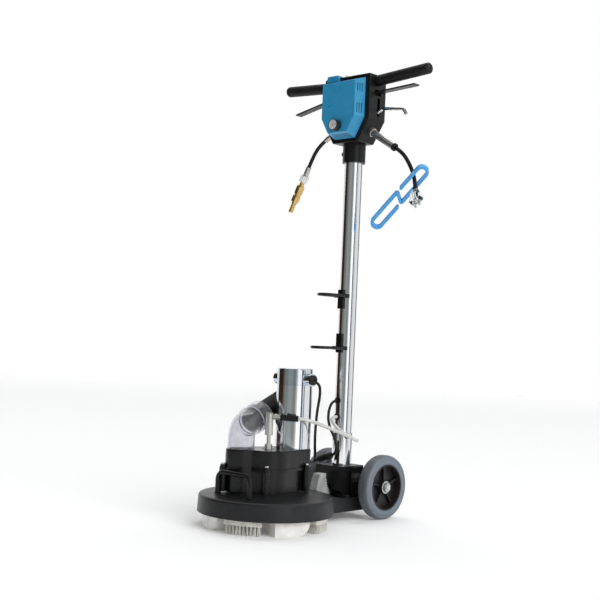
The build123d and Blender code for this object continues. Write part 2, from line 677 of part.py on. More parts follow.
BOLT_HALF = 51.5
with BuildPart() as pivot_bolt:
    with BuildSketch(SIDE):
        with Locations((POLE_OFFSET, PIVOT_Z)):
            Circle(PIVOT_D / 2)
    extrude(amount=BOLT_HALF, both=True)
    for side in (-1, 1):
        with BuildSketch(SIDE.offset(side * EAR_OUT)):
            with Locations((POLE_OFFSET, PIVOT_Z)):
                RegularPolygon(11, 6)
        extrude(amount=side * 9)
save(pivot_bolt, "pivot_bolt")

# ---- axle and the fasteners of the chassis ------------------------------------------
AXLE_HALF = 106.0
with BuildPart() as axle:
    with BuildSketch(Plane(origin=(0, AXLE_Y, AXLE_Z), z_dir=(1, 0, 0))):
        Circle(AXLE_D / 2)
    extrude(amount=AXLE_HALF, both=True)
    chamfer(axle.edges().filter_by(GeomType.CIRCLE), 1)
save(axle, "axle")

NUT_IN, NUT_OUT, SPACER_OUT = 97.3, 103.5, 66.0
with BuildPart() as chassis_fasteners:
    for x, back in CASE_SCREWS:
        with BuildSketch(level(CASE_SEAM + 5, x, HEAD_Y + back)):
            Circle(SCREW_HEAD_R)
        extrude(amount=3.5)
        with BuildSketch(level(CASE_SEAM - 13, x, HEAD_Y + back)):
            Circle(SCREW_SHANK_R)
        extrude(amount=18)
    for side in (-1, 1):
        with BuildSketch(Plane(origin=(side * NUT_IN, AXLE_Y, AXLE_Z), z_dir=(side, 0, 0))):
            RegularPolygon(11, 6)
            Circle(AXLE_D / 2 + FIT_GAP, mode=Mode.SUBTRACT)
        extrude(amount=NUT_OUT - NUT_IN)
        with BuildSketch(Plane(origin=(side * EAR_OUT, AXLE_Y, AXLE_Z), z_dir=(side, 0, 0))):
            Circle(9)
            Circle(AXLE_D / 2 + FIT_GAP, mode=Mode.SUBTRACT)
        extrude(amount=SPACER_OUT - EAR_OUT)
save(chassis_fasteners, "chassis_fasteners")

# ---- the two wheels -----------------------------------------------------------------
HUB_R, HUB_RIM, HUB_BOSS_R = 54.8, 4.5, 16.0
WEB_IN, WEB_OUT, RIB_OUT = 80.0, 84.0, 92.0
RIBS = 5
HUB_BORE_R = AXLE_D / 2 + RUN_GAP
# (distance from the middle plane, radius) around the hub's half section
HUB_PROFILE = [(73, HUB_BORE_R), (97, HUB_BORE_R), (97, HUB_BOSS_R), (WEB_OUT, HUB_BOSS_R + 1.5),
               (WEB_OUT, HUB_R - HUB_RIM - 2), (WHEEL_OUT - 1, HUB_R - HUB_RIM + 1),
               (WHEEL_OUT - 1, HUB_R), (WHEEL_IN + 1, HUB_R), (WHEEL_IN + 1, HUB_R - HUB_RIM),
               (WEB_IN, HUB_R - HUB_RIM - 1), (WEB_IN, HUB_BOSS_R + 1), (73, HUB_BOSS_R)]


def wheel_plane(side, x):
    return Plane(origin=(side * x, AXLE_Y, AXLE_Z), x_dir=(0, 1, 0), z_dir=(side, 0, 0))


for side, name in ((-1, "left"), (1, "right")):
    with BuildPart() as tyre:
        with BuildSketch(wheel_plane(side, WHEEL_IN)):
            Circle(WHEEL_D / 2)
            Circle(HUB_R + FIT_GAP, mode=Mode.SUBTRACT)
        extrude(amount=WHEEL_OUT - WHEEL_IN)
        rims = tyre.edges().filter_by(lambda e: e.length > 6.2 * (WHEEL_D / 2))
        fillet(rims, 5)
    save(tyre, f"tyre_{name}")
    section = Plane(origin=(0, AXLE_Y, AXLE_Z), x_dir=(side, 0, 0), z_dir=(0, -side, 0))
    with BuildPart() as hub:
        with BuildSketch(section):
            with BuildLine():
                Polyline(*HUB_PROFILE, close=True)
            make_face()
        revolve(axis=Axis((0, AXLE_Y, AXLE_Z), (1, 0, 0)))
        with BuildSketch(wheel_plane(side, WEB_IN + 2)):
            with PolarLocations((HUB_R + HUB_BOSS_R) / 2 - 2, RIBS, start_angle=20):
                Rectangle(HUB_R - HUB_BOSS_R - 1, 4)
        extrude(amount=RIB_OUT - WEB_IN - 2)
    save(hub, f"hub_{name}")

# ---- pole: tube, sleeve, collar, hooks, grommets and screws -------------------------
POLE_LOW = 67.0
SLEEVE_R, SLEEVE_TOP = 24.4, 201.0
COLLAR_R, COLLAR_LOW = 28.0, 856.0
LEAD_HOLE_Z, HOSE_HOLE_Z = 278.0, 239.0
GROMMET_R = 8.5
POLE_R = TUBE_D / 2

with BuildPart() as pole_tube:
    with BuildSketch(level(POLE_LOW, 0, POLE_Y)):
        Circle(POLE_R)
        Circle(POLE_R - TUBE_WALL, mode=Mode.SUBTRACT)
    extrude(amount=POLE_TOP - POLE_LOW)
    with BuildSketch(SIDE):
        with Locations((POLE_OFFSET, PIVOT_Z)):
            Circle(PIVOT_D / 2 + 0.4)
    extrude(amount=POLE_R + 1, both=True, mode=Mode.SUBTRACT)
    for z in (LEAD_HOLE_Z, HOSE_HOLE_Z):
        with BuildSketch(Plane(origin=(0, POLE_Y, z), z_dir=(0, -1, 0))):
            Circle(6.5)
        extrude(amount=POLE_R + 1, mode=Mode.SUBTRACT)
save(pole_tube, "pole_tube")

with BuildPart() as pole_sleeve:
    with BuildSketch(level(124, 0, POLE_Y)):
        Circle(SLEEVE_R)
        Circle(POLE_R + FIT_GAP, mode=Mode.SUBTRACT)
    extrude(amount=SLEEVE_TOP - 124)
    chamfer(pole_sleeve.edges().group_by(Axis.Z)[-1].sort_by(Edge.length)[-1], 0.8)
save(pole_sleeve, "pole_sleeve")

POLE_FRONT = POLE_Y - POLE_R
with BuildPart() as grommets:
    for z in (LEAD_HOLE_Z, HOSE_HOLE_Z):
        with BuildSketch(front_plane(POLE_FRONT - 2.4)):
            with Locations((0, z)):
                Circle(GROMMET_R)
        extrude(amount=-6)
    with BuildSketch(level(200, 0, POLE_Y)):
        Circle(POLE_R + FIT_GAP)
    extrude(amount=100, mode=Mode.SUBTRACT)
    for z in (LEAD_HOLE_Z, HOSE_HOLE_Z):
        with BuildSketch(front_plane(POLE_FRONT - 1)):
            with Locations((0, z)):
                Circle(6.4)
        extrude(amount=-6)
        with BuildSketch(front_plane(POLE_FRONT - 3)):
            with Locations((0, z)):
                Circle(4.3)
        extrude(amount=-10, mode=Mode.SUBTRACT)
save(grommets, "grommets")

with BuildPart() as neck_collar:
    with BuildSketch(level(COLLAR_LOW, 0, POLE_Y)):
        Circle(COLLAR_R)
        Circle(POLE_R + FIT_GAP, mode=Mode.SUBTRACT)
    extrude(amount=HOUSE_BOTTOM - COLLAR_LOW)
    with BuildSketch(level(POLE_TOP, 0, POLE_Y)):
        Circle(POLE_R + 1)
        Circle(12, mode=Mode.SUBTRACT)
    extrude(amount=HOUSE_BOTTOM - POLE_TOP)
save(neck_collar, "neck_collar")

SCREW_SPOTS = [(COLLAR_R - 0.4, 205, 879, 4.5), (COLLAR_R - 0.4, 305, 884, 3.6),
               (SLEEVE_R - 0.4, 333, 193, 5.0), (SLEEVE_R - 0.4, 262, 186, 4.0)]
with BuildPart() as pole_screws:
    for radius, angle, z, head_r in SCREW_SPOTS:
        way = Vector(cos(radians(angle)), sin(radians(angle)), 0)
        with BuildSketch(Plane(origin=Vector(0, POLE_Y, z) + way * radius, z_dir=way)):
            Circle(head_r)
        extrude(amount=3.2)
    with BuildSketch(level(100, 0, POLE_Y)):
        Circle(SLEEVE_R + FIT_GAP)
    extrude(amount=150, mode=Mode.SUBTRACT)
    with BuildSketch(level(820, 0, POLE_Y)):
        Circle(COLLAR_R + FIT_GAP)
    extrude(amount=90, mode=Mode.SUBTRACT)
save(pole_screws, "pole_screws")

HOOK_WIRE_R, HOOK_HALF = 3.5, 17.0
HOOK_PLATE_W, HOOK_PLATE_H = 17.0, 46.0
HOOKS = ((522.5, 530.5, 77.0), (416.5, 404.5, 93.0))     # plate height, arm height, reach
root_y = POLE_Y - POLE_R - 6
with BuildPart() as cord_hooks:
    for plate_z, arm_z, reach in HOOKS:
        tip_y = POLE_Y - POLE_R - reach + HOOK_HALF
        with BuildLine(level(arm_z, 0, 0)) as loop:
            Line((-HOOK_HALF, root_y), (-HOOK_HALF, tip_y))
            ThreePointArc((-HOOK_HALF, tip_y), (0, tip_y - HOOK_HALF), (HOOK_HALF, tip_y))
            Line((HOOK_HALF, tip_y), (HOOK_HALF, root_y))
        with BuildSketch(Plane(origin=(-HOOK_HALF, root_y, arm_z), z_dir=(0, -1, 0))):
            Circle(HOOK_WIRE_R)
        sweep(path=loop.line)
        with BuildSketch(front_plane(root_y - 0.5)):
            with Locations((0, arm_z)):
                Rectangle(2 * (HOOK_HALF + HOOK_WIRE_R), 9)
            with Locations((0, plate_z)):
                Rectangle(HOOK_PLATE_W, HOOK_PLATE_H)
        extrude(amount=-10)
        with BuildSketch(level(arm_z - 60, 0, POLE_Y)):
            Circle(POLE_R + FIT_GAP)
        extrude(amount=120, mode=Mode.SUBTRACT)
save(cord_hooks, "cord_hooks")

# ---- control housing: hollow box with turned-in lower corners -----------------------
GRIP_Z = 1050.0          # grip axis where it leaves the housing
LEVER_Z, LEVER_X = 1020.0, 60.0
RELEASE_X, RELEASE_Z = 30.0, 985.0
PIN_R = 3.0
BUTTON_X, BUTTON_BACK, BUTTON_R = -13.0, 229.0, 5.0
CORD_BACK = 248.0        # cords and levers leave the housing in this plane
CORD_Y = HEAD_Y + CORD_BACK
HOUSE_DEPTH = HOUSE_REAR - HOUSE_FRONT
BEVEL = Vector(HOUSE_WAIST - HOUSE_BOTTOM, 0, HOUSE_FOOT_HALF - HOUSE_HALF).normalized()
GLAND_BASE = Vector((HOUSE_HALF + HOUSE_FOOT_HALF) / 2, CORD_Y, (HOUSE_WAIST + HOUSE_BOTTOM) / 2)
HOSE_WAY = Vector(-0.88, 0, -0.47).normalized()
HOSE_BASE = Vector(-60.2, CORD_Y, 936.0)

with BuildPart() as control_housing:
    with BuildSketch(front_plane(HEAD_Y + HOUSE_FRONT)):
        with BuildLine():
            Polyline((-HOUSE_HALF, HOUSE_TOP), (HOUSE_HALF, HOUSE_TOP), (HOUSE_HALF, HOUSE_WAIST),
                     (HOUSE_FOOT_HALF, HOUSE_BOTTOM), (-HOUSE_FOOT_HALF, HOUSE_BOTTOM),
                     (-HOUSE_HALF, HOUSE_WAIST), close=True)
        make_face()
    extrude(amount=-HOUSE_DEPTH)
    fillet(control_housing.edges().filter_by(Axis.Y), 4)
    fillet(control_housing.faces().sort_by(Axis.Y)[0].edges(), 2.5)
    fillet(control_housing.faces().sort_by(Axis.Y)[-1].edges(), 2.5)
    with BuildSketch(front_plane(HEAD_Y + HOUSE_FRONT + HOUSE_WALL)):
        with BuildLine():
            Polyline((-68, 1060), (68, 1060), (68, 957), (37, 906), (-37, 906), (-68, 957),
                     close=True)
        make_face()
    extrude(amount=-(HOUSE_DEPTH - 2 * HOUSE_WALL), mode=Mode.SUBTRACT)
    with BuildSketch(front_plane(HEAD_Y + HOUSE_FRONT - 1)):
        with Locations((0, 985)):
            Rectangle(84, 90)
    extrude(amount=-6, mode=Mode.SUBTRACT)
    for x, z in ((-LEVER_X, LEVER_Z), (LEVER_X, LEVER_Z), (RELEASE_X, RELEASE_Z)):
        with BuildSketch(front_plane(HEAD_Y + 236)):
            with Locations((x, z)):
                Circle(PIN_R)
        extrude(amount=-42)
    for side in (-1, 1):
        with BuildSketch(Plane(origin=(side * 55, CORD_Y, 0), x_dir=(0, 1, 0),
                               z_dir=(1, 0, 0))):
            with Locations((0, LEVER_Z)):
                Rectangle(24, 14)
        extrude(amount=side * 30, mode=Mode.SUBTRACT)
    with BuildSketch(Plane(origin=(66, CORD_Y + 4, 0), x_dir=(0, 1, 0), z_dir=(1, 0, 0))):
        with Locations((0, 985)):
            Rectangle(9.6, 44)
    extrude(amount=10, mode=Mode.SUBTRACT)
    for side in (-1, 1):
        rise = Vector(side * cos(radians(GRIP_RISE)), 0, sin(radians(GRIP_RISE)))
        with BuildSketch(Plane(origin=Vector(side * HOUSE_HALF, CORD_Y, GRIP_Z) - rise * 10,
                               z_dir=rise)):
            Circle(BAR_R + FIT_GAP)
        extrude(amount=20, mode=Mode.SUBTRACT)
    with BuildSketch(Plane(origin=GLAND_BASE, z_dir=BEVEL)):
        Circle(6.5)
    extrude(amount=-12, mode=Mode.SUBTRACT)
    with BuildSketch(Plane(origin=HOSE_BASE, z_dir=HOSE_WAY)):
        Circle(6)
    extrude(amount=12, both=True, mode=Mode.SUBTRACT)
    with BuildSketch(level(HOUSE_TOP, BUTTON_X, HEAD_Y + BUTTON_BACK)):
        Circle(BUTTON_R + RUN_GAP)
    extrude(amount=-8, mode=Mode.SUBTRACT)
    with BuildSketch(level(HOUSE_BOTTOM - 1, 0, POLE_Y)):
        Circle(12)
    extrude(amount=10, mode=Mode.SUBTRACT)
save(control_housing, "control_housing")

# ---- front cover: faceted shell with vents, a top tab and the knob's hole -----------
FACE_Y = HEAD_Y + 186.8
RIM_Y = HEAD_Y + HOUSE_FRONT
RIM_POINTS = [(58.6, 1054.8), (58.6, 959.0), (31.7, 911.2)]
FACE_POINTS = [(51.6, 1043.8), (51.6, 959.3), (30.1, 922.3)]
COVER_WALL = 3.0


def mirrored(points, inset=0.0):
    right = [(x - inset, z + (inset if z < 1000 else -inset)) for x, z in points]
    return right + [(-x, z) for x, z in reversed(right)]


with BuildPart() as front_cover:
    with BuildSketch(front_plane(RIM_Y)):
        with BuildLine():
            Polyline(*mirrored(RIM_POINTS), close=True)
        make_face()
    with BuildSketch(front_plane(FACE_Y)):
        with BuildLine():
            Polyline(*mirrored(FACE_POINTS), close=True)
        make_face()
    loft()
    with BuildSketch(front_plane(RIM_Y)):
        with BuildLine():
            Polyline(*mirrored(RIM_POINTS, COVER_WALL), close=True)
        make_face()
    with BuildSketch(front_plane(FACE_Y + COVER_WALL)):
        with BuildLine():
            Polyline(*mirrored(FACE_POINTS, COVER_WALL), close=True)
        make_face()
    loft(mode=Mode.SUBTRACT)
    with BuildSketch(front_plane(FACE_Y - 1)):
        with Locations((0, KNOB_Z)):
            Circle(PIN_R + RUN_GAP)
    extrude(amount=-8, mode=Mode.SUBTRACT)
    for low, high in ((1018, 1038), (966, 990)):
        for slot in range(3):
            with BuildSketch(SIDE):
                with Locations((194.5 + 6.5 * slot, (low + high) / 2)):
                    Rectangle(2.6, high - low)
            extrude(amount=70, both=True, mode=Mode.SUBTRACT)
    with BuildSketch(level(905)):
        with GridLocations(2.9, 1, 18, 1):
            with Locations((0, 203)):
                Rectangle(1.3, 18)
    extrude(amount=22, mode=Mode.SUBTRACT)
    with BuildSketch(front_plane(HEAD_Y + 208)):
        with Locations((-40, 1060)):
            Rectangle(34, 15)
    extrude(amount=-9)
    with BuildSketch(level(HOUSE_TOP)):
        with Locations((-40, 224)):
            Rectangle(34, 22)
    extrude(amount=3.5)
    fillet(front_cover.edges().filter_by(Axis.Z).filter_by(
        lambda e: e.center().Z > HOUSE_TOP + 1 and e.center().Y > RIM_Y), 3)
save(front_cover, "front_cover")

# ---- knob, reset button, handle bar, grips and levers -------------------------------
with BuildPart() as speed_knob:
    for radius, low, high in ((13.5, 170, 186.4), (PIN_R, 186, 206), (9, 206, 214)):
        with BuildSketch(front_plane(HEAD_Y + high)):
            with Locations((0, KNOB_Z)):
                Circle(radius)
        extrude(amount=high - low)
    with BuildSketch(front_plane(HEAD_Y + 170)):
        with Locations((0, KNOB_Z)):
            with PolarLocations(13.9, 24):
                Circle(0.9)
    extrude(amount=-13, mode=Mode.SUBTRACT)
save(speed_knob, "speed_knob")

with BuildPart() as reset_button:
    with BuildSketch(level(HOUSE_TOP - 8, BUTTON_X, HEAD_Y + BUTTON_BACK)):
        Circle(BUTTON_R)
    extrude(amount=13.5)
    fillet(reset_button.edges().group_by(Axis.Z)[-1], 3)
    with BuildSketch(level(HOUSE_TOP - 11, BUTTON_X, HEAD_Y + BUTTON_BACK)):
        Circle(6.5)
    extrude(amount=3)
save(reset_button, "reset_button")

with BuildPart() as handle_bar:
    with BuildSketch(front_plane(CORD_Y - 12)):
        with Locations((0, 1048)):
            Rectangle(92, 20)
    extrude(amount=-24)
    for side in (-1, 1):
        rise = Vector(side * cos(radians(GRIP_RISE)), 0, sin(radians(GRIP_RISE)))
        root = Vector(side * HOUSE_HALF, CORD_Y, GRIP_Z)
        with BuildSketch(Plane(origin=root - rise * 32, z_dir=rise)):
            Circle(BAR_R)
        extrude(amount=32 + 148)
save(handle_bar, "handle_bar")

GRIP_LENGTH = (GRIP_END - HOUSE_HALF) / cos(radians(GRIP_RISE)) - 0.8
with BuildPart() as grips:
    for side in (-1, 1):
        rise = Vector(side * cos(radians(GRIP_RISE)), 0, sin(radians(GRIP_RISE)))
        root = Vector(side * HOUSE_HALF, CORD_Y, GRIP_Z)
        with BuildSketch(Plane(origin=root + rise * 1.5, z_dir=rise)):
            Circle(GRIP_R)
        extrude(amount=GRIP_LENGTH - 1.5)
        fillet(grips.faces().sort_by(Axis.X)[0 if side < 0 else -1].edges(), 7)
        with BuildSketch(Plane(origin=root, z_dir=rise)):
            Circle(BAR_R + FIT_GAP)
        extrude(amount=148.5, mode=Mode.SUBTRACT)
        with BuildSketch(Plane(origin=root, z_dir=rise)):
            Circle(2)
        extrude(amount=170, mode=Mode.SUBTRACT)
save(grips, "grips")

BLADE_T, BLADE_W, BLADE_TIP = 3.6, 20.0, 190.0
for side, name, droop in ((-1, "left", 11.5), (1, "right", -2.5)):
    with BuildPart() as trigger:
        way = Vector(side * cos(radians(droop)), 0, -sin(radians(droop)))
        pivot = Vector(side * LEVER_X, CORD_Y, LEVER_Z)
        blade_length = (BLADE_TIP - LEVER_X) / cos(radians(droop))
        blade_plane = Plane(origin=pivot, x_dir=way, z_dir=(0, -1, 0))
        with BuildSketch(blade_plane):
            with BuildLine():
                Polyline((0, -BLADE_T / 2), (blade_length - 6, -BLADE_T / 2),
                         (blade_length, 0), (blade_length - 2, BLADE_T / 2),
                         (0, BLADE_T / 2), close=True)
            make_face()
        extrude(amount=BLADE_W / 2, both=True)
        with BuildSketch(blade_plane):
            Circle(5.5)
        extrude(amount=BLADE_W / 2, both=True)
        fillet(trigger.edges().filter_by(
            lambda e: abs(e.center().X) > BLADE_TIP - 7 and e.length < 4), 1)
        with BuildSketch(blade_plane):
            Circle(PIN_R + RUN_GAP)
        extrude(amount=BLADE_W, both=True, mode=Mode.SUBTRACT)
    save(trigger, f"trigger_{name}")

ROD_R = 4.0
RELEASE_POINTS = [(RELEASE_X + 4, 983.5), (66, 971.5), (86, 981.5), (150, 973), (158, 959)]
with BuildPart() as release_lever:
    with BuildLine(front_plane(CORD_Y + 4)) as rod_path:
        FilletPolyline(*RELEASE_POINTS, radius=7)
    rod_start = Vector(RELEASE_POINTS[0][0], CORD_Y + 4, RELEASE_POINTS[0][1])
    rod_next = Vector(RELEASE_POINTS[1][0], CORD_Y + 4, RELEASE_POINTS[1][1])
    with BuildSketch(Plane(origin=rod_start, z_dir=rod_next - rod_start)):
        Circle(ROD_R)
    sweep(path=rod_path.line)
    with BuildSketch(front_plane(CORD_Y + 4)):
        with Locations((RELEASE_X, RELEASE_Z)):
            Circle(8)
    extrude(amount=7, both=True)
    with BuildSketch(front_plane(CORD_Y + 4)):
        with Locations((RELEASE_X, RELEASE_Z)):
            Circle(PIN_R + RUN_GAP)
    extrude(amount=9, both=True, mode=Mode.SUBTRACT)
save(release_lever, "release_lever")

# ---- power cord with its gland, plug and holder -------------------------------------
CORD_D = 9.6
GLAND_END = 90.0
cable_gland = bored_rod(GLAND_BASE, BEVEL, ((11, 0, 8), (8.8, 8, GLAND_END - 7)))
save(cable_gland, "cable_gland")

cord_start = GLAND_BASE + BEVEL * GLAND_END
CORD_POINTS = [tuple(cord_start), tuple(cord_start + BEVEL * 23), (169.5, CORD_Y + 1, 849.0),
               (186.5, CORD_Y - 1, 822.0), (200.0, CORD_Y - 9, 798.5), (210.5, CORD_Y - 20, 780.0)]
power_cord = tube_along(CORD_POINTS, CORD_D, "power_cord")
save(power_cord, "power_cord")

PLUG_WAY = (Vector(*CORD_POINTS[-1]) - Vector(*CORD_POINTS[-2])).normalized()
PLUG_BASE = Vector(*CORD_POINTS[-1])
PLUG_ACROSS = PLUG_WAY.cross(Vector(0, -1, 0)).normalized()
PLUG_W, PLUG_T = 33.0, 20.0


def plug_plane(distance):
    return Plane(origin=PLUG_BASE + PLUG_WAY * distance, x_dir=PLUG_ACROSS, z_dir=PLUG_WAY)


with BuildPart() as cord_reliefs:
    for base, way, radius, start, stop in ((GLAND_BASE, BEVEL, 9.6, GLAND_END - 7, GLAND_END),
                                           (PLUG_BASE, PLUG_WAY, 6.6, 0, 14)):
        with BuildSketch(Plane(origin=base + way * start, z_dir=way)):
            Circle(radius)
        extrude(amount=stop - start)
save(cord_reliefs, "cord_reliefs")
with BuildPart() as plug_body:
    with BuildSketch(plug_plane(14)):
        RectangleRounded(18, 15, 5)
    with BuildSketch(plug_plane(24)):
        RectangleRounded(PLUG_W - 5, PLUG_T - 2, 6)
    with BuildSketch(plug_plane(38)):
        RectangleRounded(PLUG_W, PLUG_T, 6)
    loft(ruled=True)
    with BuildSketch(plug_plane(38)):
        RectangleRounded(PLUG_W, PLUG_T, 6)
    extrude(amount=5)
save(plug_body, "plug_body")
with BuildPart() as plug_blades:
    with BuildSketch(plug_plane(43)):
        with Locations((-6.35, 3), (6.35, 3)):
            Rectangle(1.6, 6.3)
    extrude(amount=17)
    with BuildSketch(plug_plane(43)):
        with Locations((0, -5.5)):
            Circle(2.4)
    extrude(amount=20)
save(plug_blades, "plug_blades")

# ---- cord holder: flat strap folded into two opposed hairpins -----------------------
STRAP_T, STRAP_W, STRAP_GAP = 6.6, 14.5, 18.0
HOLDER_HALF, HOLDER_FREE, HOLDER_CROSS = 84.0, 22.0, 9.0
HOLDER_CENTRE = Vector(157.0, CORD_Y - 9.6, 762.1)
HOLDER_LONG = Vector(0.75, 0, 0.66).normalized()
HOLDER_SIDE = HOLDER_LONG.cross(Vector(0, -1, 0)).normalized()
HOLDER_THROUGH = (HOLDER_SIDE + Vector(0, -0.9, 0)).normalized()
with BuildPart() as cord_holder:
    lane = (STRAP_GAP + STRAP_T) / 2
    with BuildSketch(Plane(origin=HOLDER_CENTRE, x_dir=HOLDER_LONG, z_dir=HOLDER_THROUGH)):
        with BuildLine():
            FilletPolyline((HOLDER_FREE, lane), (HOLDER_HALF + lane, lane),
                           (HOLDER_HALF + lane, -lane), (-HOLDER_CROSS, -lane),
                           (HOLDER_CROSS, lane), (-HOLDER_HALF - lane, lane),
                           (-HOLDER_HALF - lane, -lane), (-HOLDER_FREE, -lane),
                           radius=[lane - 0.01, lane - 0.01, 3, 3, lane - 0.01, lane - 0.01])
            offset(amount=STRAP_T / 2, side=Side.BOTH)
        make_face()
    extrude(amount=STRAP_W / 2, both=True)
save(cord_holder, "cord_holder")

# ---- solution pigtail: ferrules, hose, coupling nut and brass coupler ---------------
PIGTAIL_D = 9.5
hose_exit = HOSE_BASE + HOSE_WAY * 34
PIGTAIL_POINTS = [tuple(hose_exit), tuple(hose_exit + HOSE_WAY * 14), (-121.0, CORD_Y, 896.5),
                  (-134.0, CORD_Y, 876.0), (-143.7, CORD_Y, 857.5)]
solution_pigtail = tube_along(PIGTAIL_POINTS, PIGTAIL_D, "solution_pigtail")
save(solution_pigtail, "solution_pigtail")
PIGTAIL_WAY = (Vector(*PIGTAIL_POINTS[-1]) - Vector(*PIGTAIL_POINTS[-2])).normalized()
PIGTAIL_END = Vector(*PIGTAIL_POINTS[-1])
with BuildPart() as hose_ferrules:
    for base, way, steps in (
            (HOSE_BASE, HOSE_WAY, ((5.9, -8, 0.8), (7.5, 0.8, 12), (6.4, 12, 34))),
            (PIGTAIL_END, PIGTAIL_WAY, ((6.8, 0, 24),))):
        for radius, start, stop in steps:
            with BuildSketch(Plane(origin=base + way * start, z_dir=way)):
                Circle(radius)
            extrude(amount=stop - start)
save(hose_ferrules, "hose_ferrules")
with BuildPart() as coupling_nut:
    with BuildSketch(Plane(origin=PIGTAIL_END + PIGTAIL_WAY * 24, z_dir=PIGTAIL_WAY)):
        RegularPolygon(11.5, 6)
    extrude(amount=17)
save(coupling_nut, "coupling_nut")
NIPPLE_R, NIPPLE_LOW, NIPPLE_HIGH = 5.85, 101.0, 125.0
HEX_FLATS = RegularPolygon(10.8, 6)
# (section, from, to) along the coupler
COUPLER_STEPS = [(Circle(6), 41, 52), (HEX_FLATS, 52, 74), (Circle(8.2), 74, 80),
                 (HEX_FLATS, 80, 96), (Circle(7), 96, NIPPLE_LOW),
                 (Circle(NIPPLE_R), NIPPLE_LOW, NIPPLE_HIGH)]
with BuildPart() as hose_coupler:
    for shape, start, stop in COUPLER_STEPS:
        with BuildSketch(Plane(origin=PIGTAIL_END + PIGTAIL_WAY * start, z_dir=PIGTAIL_WAY)):
            add(shape)
        extrude(amount=stop - start)
save(hose_coupler, "hose_coupler")

# ---- leads and hose between the head and the pole -----------------------------------
LEAD_D, MOTOR_LEAD_D, WHITE_D = 6.5, 6.5, 8.0
PLUG_LINE = Vector(38, 2, 13).normalized()
CONNECTOR_LEFT = Vector(-24, HEAD_Y + 200, 137)
with BuildPart() as lead_connectors:
    for radius, start, stop in ((7.5, 0, 18), (6, 18, 22), (7.8, 22, 38)):
        with BuildSketch(Plane(origin=CONNECTOR_LEFT + PLUG_LINE * start, z_dir=PLUG_LINE)):
            Circle(radius)
        extrude(amount=stop - start)
save(lead_connectors, "lead_connectors")


def behind_head(points):
    return [(x, HEAD_Y + back, z) for x, back, z in points]


connector_right = CONNECTOR_LEFT + PLUG_LINE * 38
connector_exit = [tuple(connector_right + PLUG_LINE * 9.2), tuple(connector_right)]
LEAD_POINTS = behind_head(
    [(0, 233, LEAD_HOLE_Z), (0, 214, LEAD_HOLE_Z), (-2, 203, 258), (-1, 200, 232),
     (6, 203, 210), (18, 205, 190), (26, 204, 173), (25.3, 203, 160)]) + connector_exit
lead_cable = tube_along(LEAD_POINTS, LEAD_D, "lead_cable")
save(lead_cable, "lead_cable")
WHITE_START = tuple(fitting_base + FITTING_WAY * SLEEVE_END)
white_next = tuple(fitting_base + FITTING_WAY * (SLEEVE_END + 18))
WHITE_POINTS = [WHITE_START, white_next] + behind_head(
    [(76, 84, 232), (80, 138, 215), (85, 178, 201), (84, 210, 191), (68, 230, 188),
     (46, 226, 195), (27, 211, 210), (10, 202, 228), (0, 213, HOSE_HOLE_Z),
     (0, 233, HOSE_HOLE_Z)])
solution_hose = tube_along(WHITE_POINTS, WHITE_D, "solution_hose")
save(solution_hose, "solution_hose")
connector_entry = [tuple(CONNECTOR_LEFT - PLUG_LINE * 11.6), tuple(CONNECTOR_LEFT)]
MOTOR_LEAD_POINTS = behind_head(
    [(28.5, 109.5, 326), (39, 120, 322), (41, 122, 296), (37, 118, 258), (35, 117, 222),
     (31, 121, 186), (18, 138, 158), (0, 156, 143), (-16, 169, 135), (-35, 176, 130),
     (-42, 183, 128), (-42, 193, 129)]) + connector_entry
motor_cable = tube_along(MOTOR_LEAD_POINTS, MOTOR_LEAD_D, "motor_cable")
save(motor_cable, "motor_cable")
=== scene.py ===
"""Looks of a rotary carpet cleaner, built around its CAD frame.

Metres, with +X to the machine's right, +Y to the rear and +Z up.
"""
from math import cos, pi, radians, sin, tan

import bmesh
import bpy
from mathutils import Matrix, Vector


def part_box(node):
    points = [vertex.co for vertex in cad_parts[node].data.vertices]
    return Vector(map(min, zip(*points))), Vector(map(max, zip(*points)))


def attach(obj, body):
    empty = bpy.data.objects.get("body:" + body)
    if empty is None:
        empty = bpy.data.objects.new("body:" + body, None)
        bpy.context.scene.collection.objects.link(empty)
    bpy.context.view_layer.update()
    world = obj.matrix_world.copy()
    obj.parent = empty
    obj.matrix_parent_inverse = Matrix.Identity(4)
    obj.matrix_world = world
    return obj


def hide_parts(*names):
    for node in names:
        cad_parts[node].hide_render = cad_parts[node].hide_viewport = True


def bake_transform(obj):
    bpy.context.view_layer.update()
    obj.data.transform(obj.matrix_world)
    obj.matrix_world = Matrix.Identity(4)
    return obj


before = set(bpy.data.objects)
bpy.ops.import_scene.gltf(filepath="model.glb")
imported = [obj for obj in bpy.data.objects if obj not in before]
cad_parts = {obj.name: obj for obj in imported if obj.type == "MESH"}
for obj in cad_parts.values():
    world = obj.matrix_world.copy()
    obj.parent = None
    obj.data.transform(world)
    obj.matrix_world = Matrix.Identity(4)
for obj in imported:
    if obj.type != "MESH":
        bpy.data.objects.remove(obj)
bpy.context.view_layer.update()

# ---- places on the machine, taken from its CAD nodes --------------------------------


def middle(node):
    low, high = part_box(node)
    return (Vector(low) + Vector(high)) / 2


def low_high(node):
    low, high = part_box(node)
    return Vector(low), Vector(high)


HEAD = middle("spindle")
WHEEL = middle("tyre_right")
KNOB_LOW, KNOB_HIGH = low_high("speed_knob")
MM = 0.001

# ---- shader groups ------------------------------------------------------------------


def group_with(name, inputs, outputs):
    """Empty shader group with named inputs (name, default) and float outputs."""
    made = bpy.data.node_groups.new(name, "ShaderNodeTree")
    made.interface.new_socket("Vector", in_out="INPUT", socket_type="NodeSocketVector")
    for label, value in inputs:
        socket = made.interface.new_socket(label, in_out="INPUT", socket_type="NodeSocketFloat")
        socket.default_value = value
    for label in outputs:
        made.interface.new_socket(label, in_out="OUTPUT", socket_type="NodeSocketFloat")
    return made, made.nodes.new("NodeGroupInput"), made.nodes.new("NodeGroupOutput")


